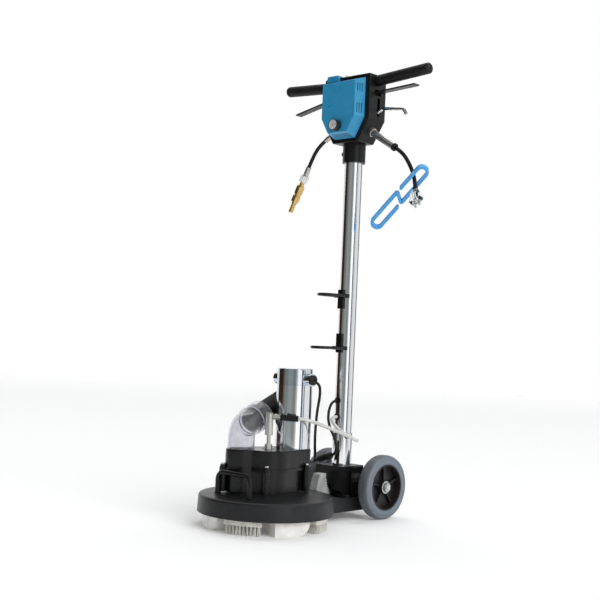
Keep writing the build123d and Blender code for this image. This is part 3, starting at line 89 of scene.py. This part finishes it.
def noise_in(tree, vector, scale, detail=3.0, rough=0.55):
    noise = tree.nodes.new("ShaderNodeTexNoise")
    noise.inputs["Detail"].default_value = detail
    noise.inputs["Roughness"].default_value = rough
    tree.links.new(vector, noise.inputs["Vector"])
    if isinstance(scale, float):
        noise.inputs["Scale"].default_value = scale
    else:
        tree.links.new(scale, noise.inputs["Scale"])
    return noise.outputs["Fac"]


def ranged(tree, value, low, high):
    """Noise value stretched so that its usual span, 0.3 to 0.7, becomes low to high."""
    remap = tree.nodes.new("ShaderNodeMapRange")
    remap.inputs["From Min"].default_value = 0.3
    remap.inputs["From Max"].default_value = 0.7
    tree.links.new(value, remap.inputs["Value"])
    for socket, end in (("To Min", low), ("To Max", high)):
        if isinstance(end, float):
            remap.inputs[socket].default_value = end
        else:
            tree.links.new(end, remap.inputs[socket])
    return remap.outputs["Result"]


def build_surface_group():
    """Fine grain, handling smudges and dust, from three scales of noise."""
    made, enter, leave = group_with(
        "surface_detail",
        [("Grain Scale", 900.0), ("Smudge Scale", 14.0), ("Rough Low", 0.3), ("Rough High", 0.4)],
        ["Height", "Roughness", "Tone"],
    )
    grain = noise_in(made, enter.outputs["Vector"], enter.outputs["Grain Scale"], 2.0, 0.5)
    smudge = noise_in(made, enter.outputs["Vector"], enter.outputs["Smudge Scale"], 4.0, 0.6)
    tone = noise_in(made, enter.outputs["Vector"], 55.0, 3.0, 0.5)
    made.links.new(grain, leave.inputs["Height"])
    made.links.new(
        ranged(made, smudge, enter.outputs["Rough Low"], enter.outputs["Rough High"]),
        leave.inputs["Roughness"],
    )
    made.links.new(ranged(made, tone, 0.0, 1.0), leave.inputs["Tone"])
    return made


SURFACE = build_surface_group()


def finish_of(name, colour, second, rough, metallic=0.0, grain=900.0, bump=0.02, smudge=14.0,
              coat=0.0, transmission=0.0, stretch=(1, 1, 1), ior=1.5, bump_depth=MM,
              shine=0.5):
    """A finish whose tone, roughness and grain vary over the surface."""
    made = bpy.data.materials.new(name)
    made.use_nodes = True
    tree = made.node_tree
    shader = tree.nodes["Principled BSDF"]
    where = tree.nodes.new("ShaderNodeTexCoord")
    mapping = tree.nodes.new("ShaderNodeMapping")
    mapping.inputs["Scale"].default_value = stretch
    detail = tree.nodes.new("ShaderNodeGroup")
    detail.node_tree = SURFACE
    detail.inputs["Grain Scale"].default_value = grain
    detail.inputs["Smudge Scale"].default_value = smudge
    detail.inputs["Rough Low"].default_value = rough[0]
    detail.inputs["Rough High"].default_value = rough[1]
    mix = tree.nodes.new("ShaderNodeMix")
    mix.data_type = "RGBA"
    mix.inputs["A"].default_value = (*colour, 1)
    mix.inputs["B"].default_value = (*second, 1)
    bumped = tree.nodes.new("ShaderNodeBump")
    bumped.inputs["Strength"].default_value = bump
    bumped.inputs["Distance"].default_value = bump_depth
    links = tree.links
    links.new(where.outputs["Object"], mapping.inputs["Vector"])
    links.new(mapping.outputs["Vector"], detail.inputs["Vector"])
    links.new(detail.outputs["Tone"], mix.inputs["Factor"])
    links.new(mix.outputs["Result"], shader.inputs["Base Color"])
    links.new(detail.outputs["Roughness"], shader.inputs["Roughness"])
    links.new(detail.outputs["Height"], bumped.inputs["Height"])
    links.new(bumped.outputs["Normal"], shader.inputs["Normal"])
    shader.inputs["Metallic"].default_value = metallic
    shader.inputs["Coat Weight"].default_value = coat
    shader.inputs["Transmission Weight"].default_value = transmission
    shader.inputs["IOR"].default_value = ior
    shader.inputs["Specular IOR Level"].default_value = shine
    return made


PAINT_DECK = finish_of("charcoal_deck_texture", (0.0065, 0.0068, 0.0078), (0.011, 0.0115, 0.013),
                       (0.32, 0.44), grain=2600.0, bump=0.35, bump_depth=0.0004, shine=0.34)
PAINT_CASE = finish_of("black_case_paint", (0.0032, 0.0032, 0.0036), (0.0060, 0.0060, 0.0066),
                       (0.20, 0.32), grain=1800.0, bump=0.15, bump_depth=0.0003, shine=0.30)
PAINT_STEEL = finish_of("black_steel_paint", (0.0030, 0.0030, 0.0034), (0.0060, 0.0060, 0.0066),
                        (0.26, 0.40), grain=1500.0, bump=0.15, bump_depth=0.0003, shine=0.28)
POWDER_COAT = finish_of("black_housing_coat", (0.0034, 0.0034, 0.0038), (0.0064, 0.0064, 0.0070),
                        (0.26, 0.38), grain=2400.0, bump=0.3, bump_depth=0.0004, shine=0.28)
CHROME = finish_of("polished_chrome", (0.80, 0.81, 0.82), (0.72, 0.73, 0.75), (0.05, 0.12),
                   metallic=1.0, grain=300.0, bump=0.01, smudge=9.0, stretch=(1, 1, 0.1))
CAP_CHROME = finish_of("polished_end_cap", (0.66, 0.70, 0.75), (0.58, 0.62, 0.67), (0.06, 0.13),
                       metallic=1.0, grain=300.0, bump=0.01, smudge=9.0)
ZINC = finish_of("bright_zinc", (0.66, 0.66, 0.64), (0.52, 0.53, 0.54), (0.18, 0.34),
                 metallic=1.0, grain=1200.0, bump=0.06, smudge=60.0)
STAINLESS = finish_of("turned_stainless", (0.60, 0.59, 0.56), (0.46, 0.45, 0.43), (0.28, 0.40),
                      metallic=1.0, grain=900.0, bump=0.08, smudge=40.0, stretch=(1, 1, 14))
DARK_BLADE = finish_of("black_lever_coat", (0.006, 0.006, 0.007), (0.014, 0.014, 0.015),
                       (0.24, 0.38), grain=1200.0, bump=0.08, smudge=30.0, shine=0.3)
GEAR_STEEL = finish_of("machined_gear_steel", (0.35, 0.35, 0.36), (0.22, 0.22, 0.23),
                       (0.22, 0.40), metallic=1.0, grain=700.0, bump=0.1)
CAST_GREY = finish_of("rough_light_casting", (0.52, 0.53, 0.52), (0.28, 0.29, 0.29),
                      (0.45, 0.70), metallic=0.15, grain=420.0, bump=0.9, bump_depth=0.0012)
ALUMINIUM = finish_of("satin_aluminium", (0.80, 0.80, 0.79), (0.66, 0.66, 0.66), (0.28, 0.45),
                      metallic=0.35, grain=900.0, bump=0.06)
SHOE = finish_of("pale_shoe", (0.86, 0.84, 0.81), (0.70, 0.68, 0.65), (0.16, 0.32),
                 grain=600.0, bump=0.06, coat=0.4)
BACKING = finish_of("pale_brush_backing", (0.78, 0.76, 0.70), (0.62, 0.60, 0.55), (0.4, 0.6),
                    grain=800.0, bump=0.1)
NYLON = finish_of("grey_nylon_tufts", (0.80, 0.79, 0.74), (0.52, 0.51, 0.47), (0.35, 0.6),
                  grain=1500.0, bump=0.2, smudge=80.0)
RUBBER = finish_of("matte_black_rubber", (0.0045, 0.0045, 0.0046), (0.009, 0.009, 0.0092),
                   (0.42, 0.60), grain=2200.0, bump=0.35, bump_depth=0.0003, shine=0.3)
JACKET = finish_of("black_cable_jacket", (0.004, 0.004, 0.004), (0.010, 0.010, 0.010),
                   (0.30, 0.48), grain=1600.0, bump=0.15, bump_depth=0.0003, shine=0.3)
WHITE_HOSE = finish_of("white_solution_hose", (0.66, 0.66, 0.63), (0.52, 0.52, 0.50),
                       (0.25, 0.42), grain=900.0, bump=0.05, coat=0.2)
WHITE_NUT = finish_of("white_moulded_nut", (0.80, 0.80, 0.78), (0.68, 0.68, 0.67), (0.2, 0.35),
                      grain=900.0, bump=0.05, coat=0.2)
BRASS = finish_of("machined_brass", (0.78, 0.55, 0.23), (0.60, 0.40, 0.15), (0.30, 0.44),
                  metallic=1.0, grain=900.0, bump=0.06, smudge=50.0)
COVER_BLUE = finish_of("sky_blue_cover", (0.022, 0.265, 0.49), (0.018, 0.240, 0.45),
                       (0.26, 0.38), grain=2400.0, bump=0.12, bump_depth=0.0003, coat=0.2)
HOLDER_BLUE = finish_of("blue_holder_plastic", (0.070, 0.37, 0.78), (0.058, 0.32, 0.70),
                        (0.40, 0.52), grain=900.0, bump=0.03, bump_depth=0.0003, shine=0.35)
CLEAR = finish_of("clear_moulding", (0.93, 0.95, 0.96), (0.88, 0.91, 0.92), (0.03, 0.09),
                  grain=120.0, bump=0.02, smudge=20.0, transmission=1.0, ior=1.3)
CLEAR_ELBOW = finish_of("clear_elbow_moulding", (0.86, 0.86, 0.90), (0.76, 0.76, 0.81),
                        (0.03, 0.12), grain=120.0, bump=0.03, smudge=20.0, transmission=0.93,
                        ior=1.42)
KNOB_BLACK = finish_of("black_knob", (0.012, 0.012, 0.013), (0.020, 0.020, 0.020), (0.25, 0.4),
                       grain=1500.0, bump=0.1)
SPUN = finish_of("spun_knob_face", (0.80, 0.80, 0.81), (0.45, 0.45, 0.47), (0.20, 0.34),
                 metallic=0.35, grain=500.0, bump=0.15, smudge=70.0)
TYRE_SIDE = finish_of("blue_grey_tyre", (0.150, 0.178, 0.215), (0.130, 0.155, 0.188),
                      (0.45, 0.62), grain=1800.0, bump=0.25, bump_depth=0.0003)
TYRE_TREAD = finish_of("dull_tread", (0.125, 0.136, 0.150), (0.095, 0.104, 0.116),
                       (0.55, 0.75), grain=1100.0, bump=0.5, bump_depth=0.0004)
HUB_BLACK = finish_of("moulded_black_hub", (0.008, 0.007, 0.007), (0.015, 0.013, 0.013),
                      (0.30, 0.46), grain=1500.0, bump=0.2, bump_depth=0.0003, shine=0.32)
GREEN_WIRE = finish_of("green_wire", (0.03, 0.28, 0.12), (0.02, 0.20, 0.08), (0.3, 0.5))

CAD_FINISHES = {
    "deck_shroud": PAINT_DECK, "chassis_arm": PAINT_STEEL, "gear_case_body": PAINT_CASE,
    "gear_case_cover": PAINT_CASE, "chassis_fasteners": ZINC, "carry_handle": PAINT_STEEL,
    "motor_can": CHROME, "motor_end_bell": CAP_CHROME, "motor_brush_caps": RUBBER,
    "quadrant": CAST_GREY, "axle": ZINC, "pivot_bolt": ZINC, "head_bearings": GEAR_STEEL,
    "swivel_body": STAINLESS, "motor_cable": JACKET, "solution_hose": WHITE_HOSE,
    "spindle": GEAR_STEEL, "driven_gear": GEAR_STEEL, "rotor_plate": ALUMINIUM,
    "brush_blocks": BACKING, "bristles": NYLON, "vacuum_shoes": SHOE,
    "swivel_stem": STAINLESS, "idler_gears": GEAR_STEEL, "motor_armature": GEAR_STEEL,
    "vacuum_elbow": CLEAR_ELBOW, "hose_cuff": RUBBER, "pole_foot": PAINT_STEEL,
    "pole_sleeve": CHROME, "pole_tube": CHROME, "pole_screws": PAINT_STEEL,
    "neck_collar": PAINT_STEEL, "control_housing": POWDER_COAT, "front_cover": COVER_BLUE,
    "handle_bar": PAINT_STEEL, "grips": RUBBER, "cord_hooks": PAINT_STEEL,
    "grommets": RUBBER, "cable_gland": STAINLESS, "cord_reliefs": RUBBER,
    "power_cord": JACKET, "plug_body": CLEAR, "plug_blades": ZINC,
    "cord_holder": HOLDER_BLUE, "hose_ferrules": STAINLESS, "solution_pigtail": JACKET,
    "coupling_nut": WHITE_NUT, "hose_coupler": BRASS, "lead_cable": JACKET,
    "lead_connectors": RUBBER, "pawl": GEAR_STEEL, "trigger_left": DARK_BLADE,
    "trigger_right": DARK_BLADE, "release_lever": CHROME, "speed_knob": KNOB_BLACK,
    "reset_button": CLEAR, "tyre_left": TYRE_SIDE, "hub_left": HUB_BLACK,
    "tyre_right": TYRE_SIDE, "hub_right": HUB_BLACK,
}
for node, material in CAD_FINISHES.items():
    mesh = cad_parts[node].data
    mesh.materials.clear()
    mesh.materials.append(material)

# ---- mesh helpers -------------------------------------------------------------------


def piece_from(bm, name, materials, body, smooth=35):
    """Turns a bmesh into a finished piece at the origin, riding on its body."""
    bmesh.ops.remove_doubles(bm, verts=bm.verts, dist=1e-6)
    bmesh.ops.recalc_face_normals(bm, faces=bm.faces)
    mesh = bpy.data.meshes.new(name)
    bm.to_mesh(mesh)
    bm.free()
    for material in materials:
        mesh.materials.append(material)
    made = bpy.data.objects.new(name, mesh)
    bpy.context.scene.collection.objects.link(made)
    mesh.polygons.foreach_set("use_smooth", [True] * len(mesh.polygons))
    mesh.set_sharp_from_angle(angle=radians(smooth))
    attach(made, body)
    return made


def frame_along(origin, direction):
    """Matrix that puts +Z along a direction at an origin."""
    turn = Vector(direction).normalized().to_track_quat("Z", "Y").to_matrix().to_4x4()
    return Matrix.Translation(Vector(origin)) @ turn


def spun(bm, profile, origin, direction, steps=48, material=0):
    """Closed turned ring: profile is (radius, height) pairs around the direction."""
    points = [bm.verts.new((radius, 0, height)) for radius, height in profile]
    edges = [bm.edges.new(pair) for pair in zip(points, points[1:] + points[:1])]
    made = bmesh.ops.spin(bm, geom=points + edges, axis=(0, 0, 1), cent=(0, 0, 0),
                          angle=2 * pi, steps=steps, use_merge=True)
    verts = {v for v in made["geom_last"] if isinstance(v, bmesh.types.BMVert)} | set(points)
    reached = set(verts)
    stack = list(verts)
    while stack:
        for edge in stack.pop().link_edges:
            for vert in edge.verts:
                if vert not in reached:
                    reached.add(vert)
                    stack.append(vert)
    bmesh.ops.transform(bm, matrix=frame_along(origin, direction), verts=list(reached))
    for vert in reached:
        for face in vert.link_faces:
            face.material_index = material


# ---- brush tufts --------------------------------------------------------------------
TUFT_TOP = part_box("bristles")[1][2]
BRUSH_IN, BRUSH_OUT = 0.0955, 0.1375
TUFT_ROWS, STATIONS = 7, 4
BRUSH_START, BRUSH_HALF = radians(24.0), radians(17.0)
TUFT_GAP = 0.0078
STRANDS, STRAND_R, STRAND_TIP = 5, 0.00105, 0.62
STRAND_STEP, STRAND_SPREAD, STRAND_LEAN = 0.0017, 0.0003, 0.55
ROW_TWIST, PLACE_TWIST, SPREAD_WAVES = 1.3, 0.9, 7


def add_strand(bm, x, y, lean):
    """One bundle of filaments: narrow at the backing, wider and leaning at its tip."""
    made = bmesh.ops.create_cone(bm, cap_ends=True, segments=6, radius1=STRAND_R,
                                 radius2=STRAND_R * STRAND_TIP, depth=TUFT_TOP)
    bmesh.ops.translate(bm, verts=made["verts"], vec=(0, 0, TUFT_TOP / 2))
    for vert in made["verts"]:
        share = 1 - vert.co.z / TUFT_TOP
        vert.co.x += x + lean[0] * share
        vert.co.y += y + lean[1] * share


bm = bmesh.new()
for station in range(STATIONS):
    centre_turn = BRUSH_START + station * 2 * pi / STATIONS
    for row in range(TUFT_ROWS):
        radius = BRUSH_IN + (BRUSH_OUT - BRUSH_IN) * row / (TUFT_ROWS - 1)
        count = int(2 * BRUSH_HALF * radius / TUFT_GAP)
        for place in range(count):
            turn = centre_turn - BRUSH_HALF + 2 * BRUSH_HALF * (place + 0.5) / count
            x, y = radius * cos(turn), HEAD.y + radius * sin(turn)
            for strand in range(STRANDS):
                around = strand * 2 * pi / STRANDS + row * ROW_TWIST + place * PLACE_TWIST
                step = STRAND_STEP + STRAND_SPREAD * sin(SPREAD_WAVES * around)
                lean = (step * STRAND_LEAN * cos(around), step * STRAND_LEAN * sin(around))
                add_strand(bm, x + step * cos(around), y + step * sin(around), lean)
tufts = piece_from(bm, "brush_tufts", [NYLON], "brush_head")
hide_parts("bristles")

# ---- tyres and bearing rings --------------------------------------------------------
WHEEL_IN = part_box("tyre_right")[0][0]
TYRE_R = (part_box("tyre_right")[1][2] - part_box("tyre_right")[0][2]) / 2
HUB_R = 0.05482
BOSS_FACE = 0.0970
TREAD_FROM = 0.0742      # the tread's colour starts at this radius
# (radius, distance from the inner face) around one tyre, with a moulded groove line
TYRE_PROFILE = [
    (HUB_R, 0.0016), (HUB_R + 0.0008, 0.0004), (0.0600, 0.0001), (0.0660, 0.0002),
    (0.0705, 0.0010), (0.0738, 0.0032), (0.0756, 0.0070), (TYRE_R - 0.0001, 0.0120),
    (TYRE_R - 0.0001, 0.0215), (0.0756, 0.0262), (0.0738, 0.0300), (0.0708, 0.0323),
    (0.0684, 0.0329), (0.0677, 0.0322), (0.0670, 0.0330), (0.0610, 0.0332),
    (0.0583, 0.0330), (0.0572, 0.0322), (0.0560, 0.0320), (HUB_R, 0.0312),
]
# (radius, height above the hub's boss) around the ring that covers the bearing
BEARING_PROFILE = [(0.0146, -0.0004), (0.0146, 0.0010), (0.0140, 0.0014), (0.0126, 0.0014),
                   (0.0120, 0.0006), (0.0112, 0.0006), (0.0112, -0.0004)]
for side, name in ((-1, "left"), (1, "right")):
    bm = bmesh.new()
    spun(bm, TYRE_PROFILE, (side * WHEEL_IN, WHEEL.y, WHEEL.z), (side, 0, 0), steps=96)
    for face in bm.faces:
        at = face.calc_center_median()
        face.material_index = 1 if (at.yz - WHEEL.yz).length > TREAD_FROM else 0
    tyre = piece_from(bm, f"moulded_tyre_{name}", [TYRE_SIDE, TYRE_TREAD], f"wheel_{name}",
                      smooth=50)
    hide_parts(f"tyre_{name}")
    bm = bmesh.new()
    spun(bm, BEARING_PROFILE, (side * BOSS_FACE, WHEEL.y, WHEEL.z), (side, 0, 0))
    piece_from(bm, f"bearing_ring_{name}", [ZINC], f"wheel_{name}")

# ---- knob face ----------------------------------------------------------------------
KNOB_Z = (KNOB_LOW.z + KNOB_HIGH.z) / 2
# (radius, height above the knob's end) around its turned plate
KNOB_PROFILE = [(0.0118, -0.0001), (0.0116, 0.0004), (0.0090, 0.0006), (0.0086, 0.0003),
                (0.0060, 0.0003), (0.0057, 0.0006), (0.0008, 0.0007), (0.0008, -0.0001)]
bm = bmesh.new()
spun(bm, KNOB_PROFILE, (0, KNOB_LOW.y, KNOB_Z), (0, -1, 0))
piece_from(bm, "knob_face", [SPUN], "speed_knob")

# ---- gland ring, plug relief and swivel sleeve: ribbed rubber -----------------------
GLAND_BASE = Vector((0.05585, 0.13265, 0.92885))
GLAND_WAY = Vector((0.8541, 0, -0.5201))
PLUG_BASE = Vector((0.2105, 0.11265, 0.78))
PLUG_WAY = Vector((0.43845, -0.45933, -0.77251)).normalized()
FITTING_WAY = Vector((0.79, 0.61, -0.04)).normalized()
FITTING_BASE = Vector((0, HEAD.y, 0.245))
# (radius, distance from the gland's base) around the collar at the gland's end
GLAND_PROFILE = [(0.0049, 0.083), (0.0088, 0.083), (0.0096, 0.0842), (0.0096, 0.0888),
                 (0.0086, 0.0900), (0.0049, 0.0900)]
GROOVE, RIB_RISE, RIB_FLAT, RIB_FALL = 0.84, 0.22, 0.62, 0.84


def ribbed(bm, base, way, bore, outer, start, stop, ribs, taper=1.0):
    """Ribbed sleeve from start to stop along a direction; taper is its first rib's share."""
    pitch = (stop - start) / ribs
    profile = [(bore, start)]
    for rib in range(ribs):
        size = outer * (taper + (1 - taper) * rib / max(ribs - 1, 1))
        at = start + pitch * rib
        profile += [(size * GROOVE, at), (size, at + pitch * RIB_RISE),
                    (size, at + pitch * RIB_FLAT), (size * GROOVE, at + pitch * RIB_FALL)]
    profile += [(outer * GROOVE, stop), (bore, stop)]
    spun(bm, profile, base, way)


bm = bmesh.new()
spun(bm, GLAND_PROFILE, GLAND_BASE, GLAND_WAY)
ribbed(bm, PLUG_BASE, PLUG_WAY, 0.0010, 0.0066, 0.0, 0.0140, 5, taper=0.86)
reliefs = piece_from(bm, "ribbed_reliefs", [RUBBER], "handle")
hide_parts("cord_reliefs")

bm = bmesh.new()
ribbed(bm, FITTING_BASE, FITTING_WAY, 0.00625, 0.0074, 0.0245, 0.0655, 9)
piece_from(bm, "swivel_sleeve", [RUBBER], "chassis")

# ---- wires inside the clear plug ----------------------------------------------------
WIRE_PITCH = 0.0055
WIRE_PROFILE = [(0.0002, 0.016), (0.0012, 0.016), (0.0012, 0.036), (0.0002, 0.036)]
bm = bmesh.new()
across = PLUG_WAY.cross(Vector((0, -1, 0))).normalized()
for index, offset in enumerate((-WIRE_PITCH, 0.0, WIRE_PITCH)):
    spun(bm, WIRE_PROFILE, PLUG_BASE + across * offset, PLUG_WAY, steps=12, material=index)
piece_from(bm, "plug_wires", [JACKET, GREEN_WIRE, WHITE_NUT], "handle")

# ---- cords --------------------------------------------------------------------------
MAINS_D, PIGTAIL_D, LEAD_D, HOSE_D = 0.0096, 0.0095, 0.0065, 0.0080
POWER_ROUTE = [(0.1327, 0.1327, 0.882), (0.1524, 0.1327, 0.8701), (0.1695, 0.1337, 0.849),
               (0.1865, 0.1317, 0.822), (0.2, 0.1237, 0.7985), (0.2105, 0.1127, 0.78)]
PIGTAIL_ROUTE = [(-0.0902, 0.1327, 0.92), (-0.1025, 0.1327, 0.9134), (-0.121, 0.1327, 0.8965),
                 (-0.134, 0.1327, 0.876), (-0.1437, 0.1327, 0.8575)]
LEAD_ROUTE = [(0.0, 0.1177, 0.278), (0.0, 0.0987, 0.278), (-0.002, 0.0877, 0.258),
              (-0.001, 0.0847, 0.232), (0.006, 0.0877, 0.21), (0.018, 0.0897, 0.19),
              (0.026, 0.0887, 0.173), (0.0253, 0.0877, 0.16), (0.0206, 0.087, 0.1523),
              (0.0119, 0.0865, 0.1493)]
WHITE_ROUTE = [(0.0522, -0.075, 0.2424), (0.0664, -0.0641, 0.2416), (0.076, -0.0313, 0.232),
               (0.08, 0.0227, 0.215), (0.085, 0.0627, 0.201), (0.084, 0.0947, 0.191),
               (0.068, 0.1147, 0.188), (0.046, 0.1107, 0.195), (0.027, 0.0956, 0.21),
               (0.01, 0.0867, 0.228), (0.0, 0.0977, 0.239), (0.0, 0.1177, 0.239)]
MOTOR_ROUTE = [(0.0285, -0.0058, 0.326), (0.039, 0.0047, 0.322), (0.041, 0.0067, 0.296),
               (0.037, 0.0027, 0.258), (0.035, 0.0017, 0.222), (0.031, 0.0057, 0.186),
               (0.018, 0.0227, 0.158), (0.0, 0.0407, 0.143), (-0.016, 0.0537, 0.135),
               (-0.035, 0.0607, 0.13), (-0.042, 0.0677, 0.128), (-0.042, 0.0777, 0.129),
               (-0.035, 0.0841, 0.1332), (-0.024, 0.0847, 0.137)]


def cord_curve(name, route, diameter, material):
    """Round cord on one smooth curve through a given route."""
    data = bpy.data.curves.new(name, "CURVE")
    data.dimensions = "3D"
    data.bevel_depth = diameter / 2
    data.bevel_resolution = 5
    data.use_fill_caps = True
    data.resolution_u = 10
    spline = data.splines.new("NURBS")
    spline.points.add(len(route) - 1)
    for point, place in zip(spline.points, route):
        point.co = (*place, 1)
    spline.order_u = 3
    spline.use_endpoint_u = True
    data.materials.append(material)
    made = bpy.data.objects.new(name, data)
    bpy.context.scene.collection.objects.link(made)
    return made


def centreline(curve):
    """Points along a curve's own line, and its length."""
    data = curve.data.copy()
    data.bevel_depth = 0
    line = bpy.data.objects.new("centreline", data)
    bpy.context.scene.collection.objects.link(line)
    bpy.context.view_layer.update()
    points = [v.co.copy() for v in line.to_mesh().vertices]
    bpy.data.objects.remove(line)
    return points, sum((b - a).length for a, b in zip(points, points[1:]))


def free_cord(name, node, route, diameter, material, body):
    curve = cord_curve(name, route, diameter, material)
    length = centreline(curve)[1]
    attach(curve, body)
    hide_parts(node)


def bending_cord(name, node, route, diameter, material):
    """Cord that crosses the tilt joint, as one mesh tube baked in place, with no parent."""
    curve = cord_curve(name + "_line", route, diameter, material)
    points, length = centreline(curve)
    bpy.context.view_layer.update()
    shape = bpy.data.meshes.new_from_object(curve.evaluated_get(
        bpy.context.evaluated_depsgraph_get()))
    bpy.data.objects.remove(curve)
    made = bpy.data.objects.new(name, shape)
    bpy.context.scene.collection.objects.link(made)
    bm = bmesh.new()
    bm.from_mesh(shape)
    bmesh.ops.remove_doubles(bm, verts=bm.verts, dist=1e-6)
    bmesh.ops.recalc_face_normals(bm, faces=bm.faces)
    bm.to_mesh(shape)
    bm.free()
    shape.polygons.foreach_set("use_smooth", [True] * len(shape.polygons))
    shape.set_sharp_from_angle(angle=radians(50))
    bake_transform(made)
    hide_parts(node)


free_cord("mains_cord", "power_cord", POWER_ROUTE, MAINS_D, JACKET, "handle")
free_cord("solution_pigtail_hose", "solution_pigtail", PIGTAIL_ROUTE, PIGTAIL_D, JACKET,
          "handle")
free_cord("pole_lead", "lead_cable", LEAD_ROUTE, LEAD_D, JACKET, "handle")
bending_cord("white_hose", "solution_hose", WHITE_ROUTE, HOSE_D, WHITE_HOSE)
bending_cord("motor_lead", "motor_cable", MOTOR_ROUTE, LEAD_D, JACKET)

# ---- floor, backdrop, light and camera ----------------------------------------------
EYE_TURN, EYE_BACK, EYE_HEIGHT = radians(44.56), 2.41703, 0.42011
FLOOR_SIZE, FLOOR_DROP = 60, 0.0002
BACKDROP_DISTANCE, BACKDROP_Z, BACKDROP_SIZE = 7.0, 5.0, (30, 14)
RING_PANELS, RING_DISTANCE, RING_OVERLAP = 12, 9.0, 0.05
BAND_DISTANCE, BAND_Z, BAND_HEIGHT = 1.6, 0.9, 3.0


def plain_material(name, grey, glow=0.0):
    """Matte grey for the set, with its own glow when that is given."""
    made = bpy.data.materials.new(name)
    made.use_nodes = True
    shader = made.node_tree.nodes["Principled BSDF"]
    shader.inputs["Base Color"].default_value = (grey, grey, grey, 1)
    shader.inputs["Roughness"].default_value = 1.0
    shader.inputs["Specular IOR Level"].default_value = 0.0
    shader.inputs["Emission Color"].default_value = (1, 1, 1, 1)
    shader.inputs["Emission Strength"].default_value = glow
    return made


def around_machine(turn, distance, height):
    """Place at a turn, in degrees, to the right of the camera's side of the machine."""
    angle = EYE_TURN + radians(turn)
    return distance * sin(angle), -distance * cos(angle), height


def card(name, place, size, material):
    """Flat panel of the set that faces the foot of the machine."""
    bpy.ops.mesh.primitive_plane_add(size=1)
    made = bpy.context.object
    made.name = name
    made.scale = (size[0], size[1], 1)
    made.location = place
    way = Vector((0, 0, place[2])) - Vector(place)
    made.rotation_euler = way.to_track_quat("Z", "Y").to_euler()
    made.data.materials.append(material)
    return made


bpy.ops.mesh.primitive_plane_add(size=FLOOR_SIZE, location=(0, 0, -FLOOR_DROP))
floor = bpy.context.object
floor.name = "floor"
floor.data.materials.append(plain_material("pale_floor", 0.95, 0.07))
WHITE_BACKDROP = plain_material("white_backdrop", 0.0, 1.0)
card("backdrop", around_machine(180, BACKDROP_DISTANCE, BACKDROP_Z), BACKDROP_SIZE,
     WHITE_BACKDROP)
for number in range(RING_PANELS):
    place = around_machine(360 * number / RING_PANELS, RING_DISTANCE, BACKDROP_Z)
    breadth = 2 * RING_DISTANCE * tan(pi / RING_PANELS) + RING_OVERLAP
    panel = card(f"backdrop_{number}", place, (breadth, BACKDROP_SIZE[1]), WHITE_BACKDROP)
    panel.visible_diffuse = False
    panel.visible_glossy = False
    panel.visible_shadow = False

# Bands that polished metal reflects: (from, to, colour), with turns in degrees.
BANDS = [(-122, -78, (0.035, 0.022, 0.016)), (-78, -66, (0.16, 0.13, 0.11)),
         (-66, -44, (0.22, 0.24, 0.23)), (-44, -14, (0.30, 0.34, 0.33)),
         (-14, 6, (0.24, 0.26, 0.26)), (6, 16, (0.55, 0.56, 0.55)),
         (16, 42, (1.35, 1.36, 1.35)), (42, 52, (0.03, 0.05, 0.09)),
         (52, 60, (0.80, 0.84, 0.90)), (60, 65, (0.06, 0.05, 0.04)),
         (65, 114, (0.92, 0.93, 0.94)), (114, 132, (0.03, 0.025, 0.02))]
for number, (start, stop, colour) in enumerate(BANDS):
    place = around_machine((start + stop) / 2, BAND_DISTANCE, BAND_Z)
    breadth = 2 * BAND_DISTANCE * tan(radians(stop - start) / 2)
    material = plain_material(f"band_{number}", 0.0, 1.0)
    shader = material.node_tree.nodes["Principled BSDF"]
    shader.inputs["Emission Color"].default_value = (*colour, 1)
    panel = card(f"band_{number}", place, (breadth, BAND_HEIGHT), material)
    panel.visible_camera = False
    panel.visible_diffuse = False
    panel.visible_shadow = False
    panel.visible_transmission = False

ROOM_GLOW, ROOM_COLOUR = 0.34, (0.97, 0.985, 1, 1)
world = bpy.data.worlds.new("soft_studio")
bpy.context.scene.world = world
world.use_nodes = True
background = world.node_tree.nodes["Background"]
background.inputs["Strength"].default_value = ROOM_GLOW
background.inputs["Color"].default_value = ROOM_COLOUR


def soft_sun(name, way, power, spread):
    """Even light along a direction, soft by its spread in degrees."""
    data = bpy.data.lights.new(name, "SUN")
    data.energy = power
    data.angle = radians(spread)
    made = bpy.data.objects.new(name, data)
    bpy.context.scene.collection.objects.link(made)
    made.rotation_euler = Vector(way).to_track_quat("-Z", "Y").to_euler()


soft_sun("right_light", (-0.85, 0.10, -0.52), 1.9, 50)
soft_sun("rear_light", (0.42, -0.50, -0.76), 2.3, 60)

SENSOR_WIDTH = 36
EYE_LENS_RATIO = 1069.04 / 600      # focal length over the width of the view
EYE_YAW, EYE_PITCH, EYE_ROLL = radians(-1.35), radians(2.13), radians(2.5)
camera_data = bpy.data.cameras.new("camera")
camera_data.sensor_width = SENSOR_WIDTH
camera_data.lens = SENSOR_WIDTH * EYE_LENS_RATIO
camera = bpy.data.objects.new("camera", camera_data)
bpy.context.scene.collection.objects.link(camera)
look = EYE_TURN + EYE_YAW
forward = Vector((-sin(look) * cos(EYE_PITCH), cos(look) * cos(EYE_PITCH), sin(EYE_PITCH)))
level_right = Vector((cos(look), sin(look), 0))
level_up = level_right.cross(forward)
right = level_right * cos(EYE_ROLL) + level_up * sin(EYE_ROLL)
up = level_up * cos(EYE_ROLL) - level_right * sin(EYE_ROLL)
turned = Matrix((right, up, -forward)).transposed().to_4x4()
eye = Vector((EYE_BACK * sin(EYE_TURN), -EYE_BACK * cos(EYE_TURN) + HEAD.y, EYE_HEIGHT))
camera.matrix_world = Matrix.Translation(eye) @ turned
bpy.context.scene.camera = camera
bpy.context.scene.view_settings.view_transform = "Standard"
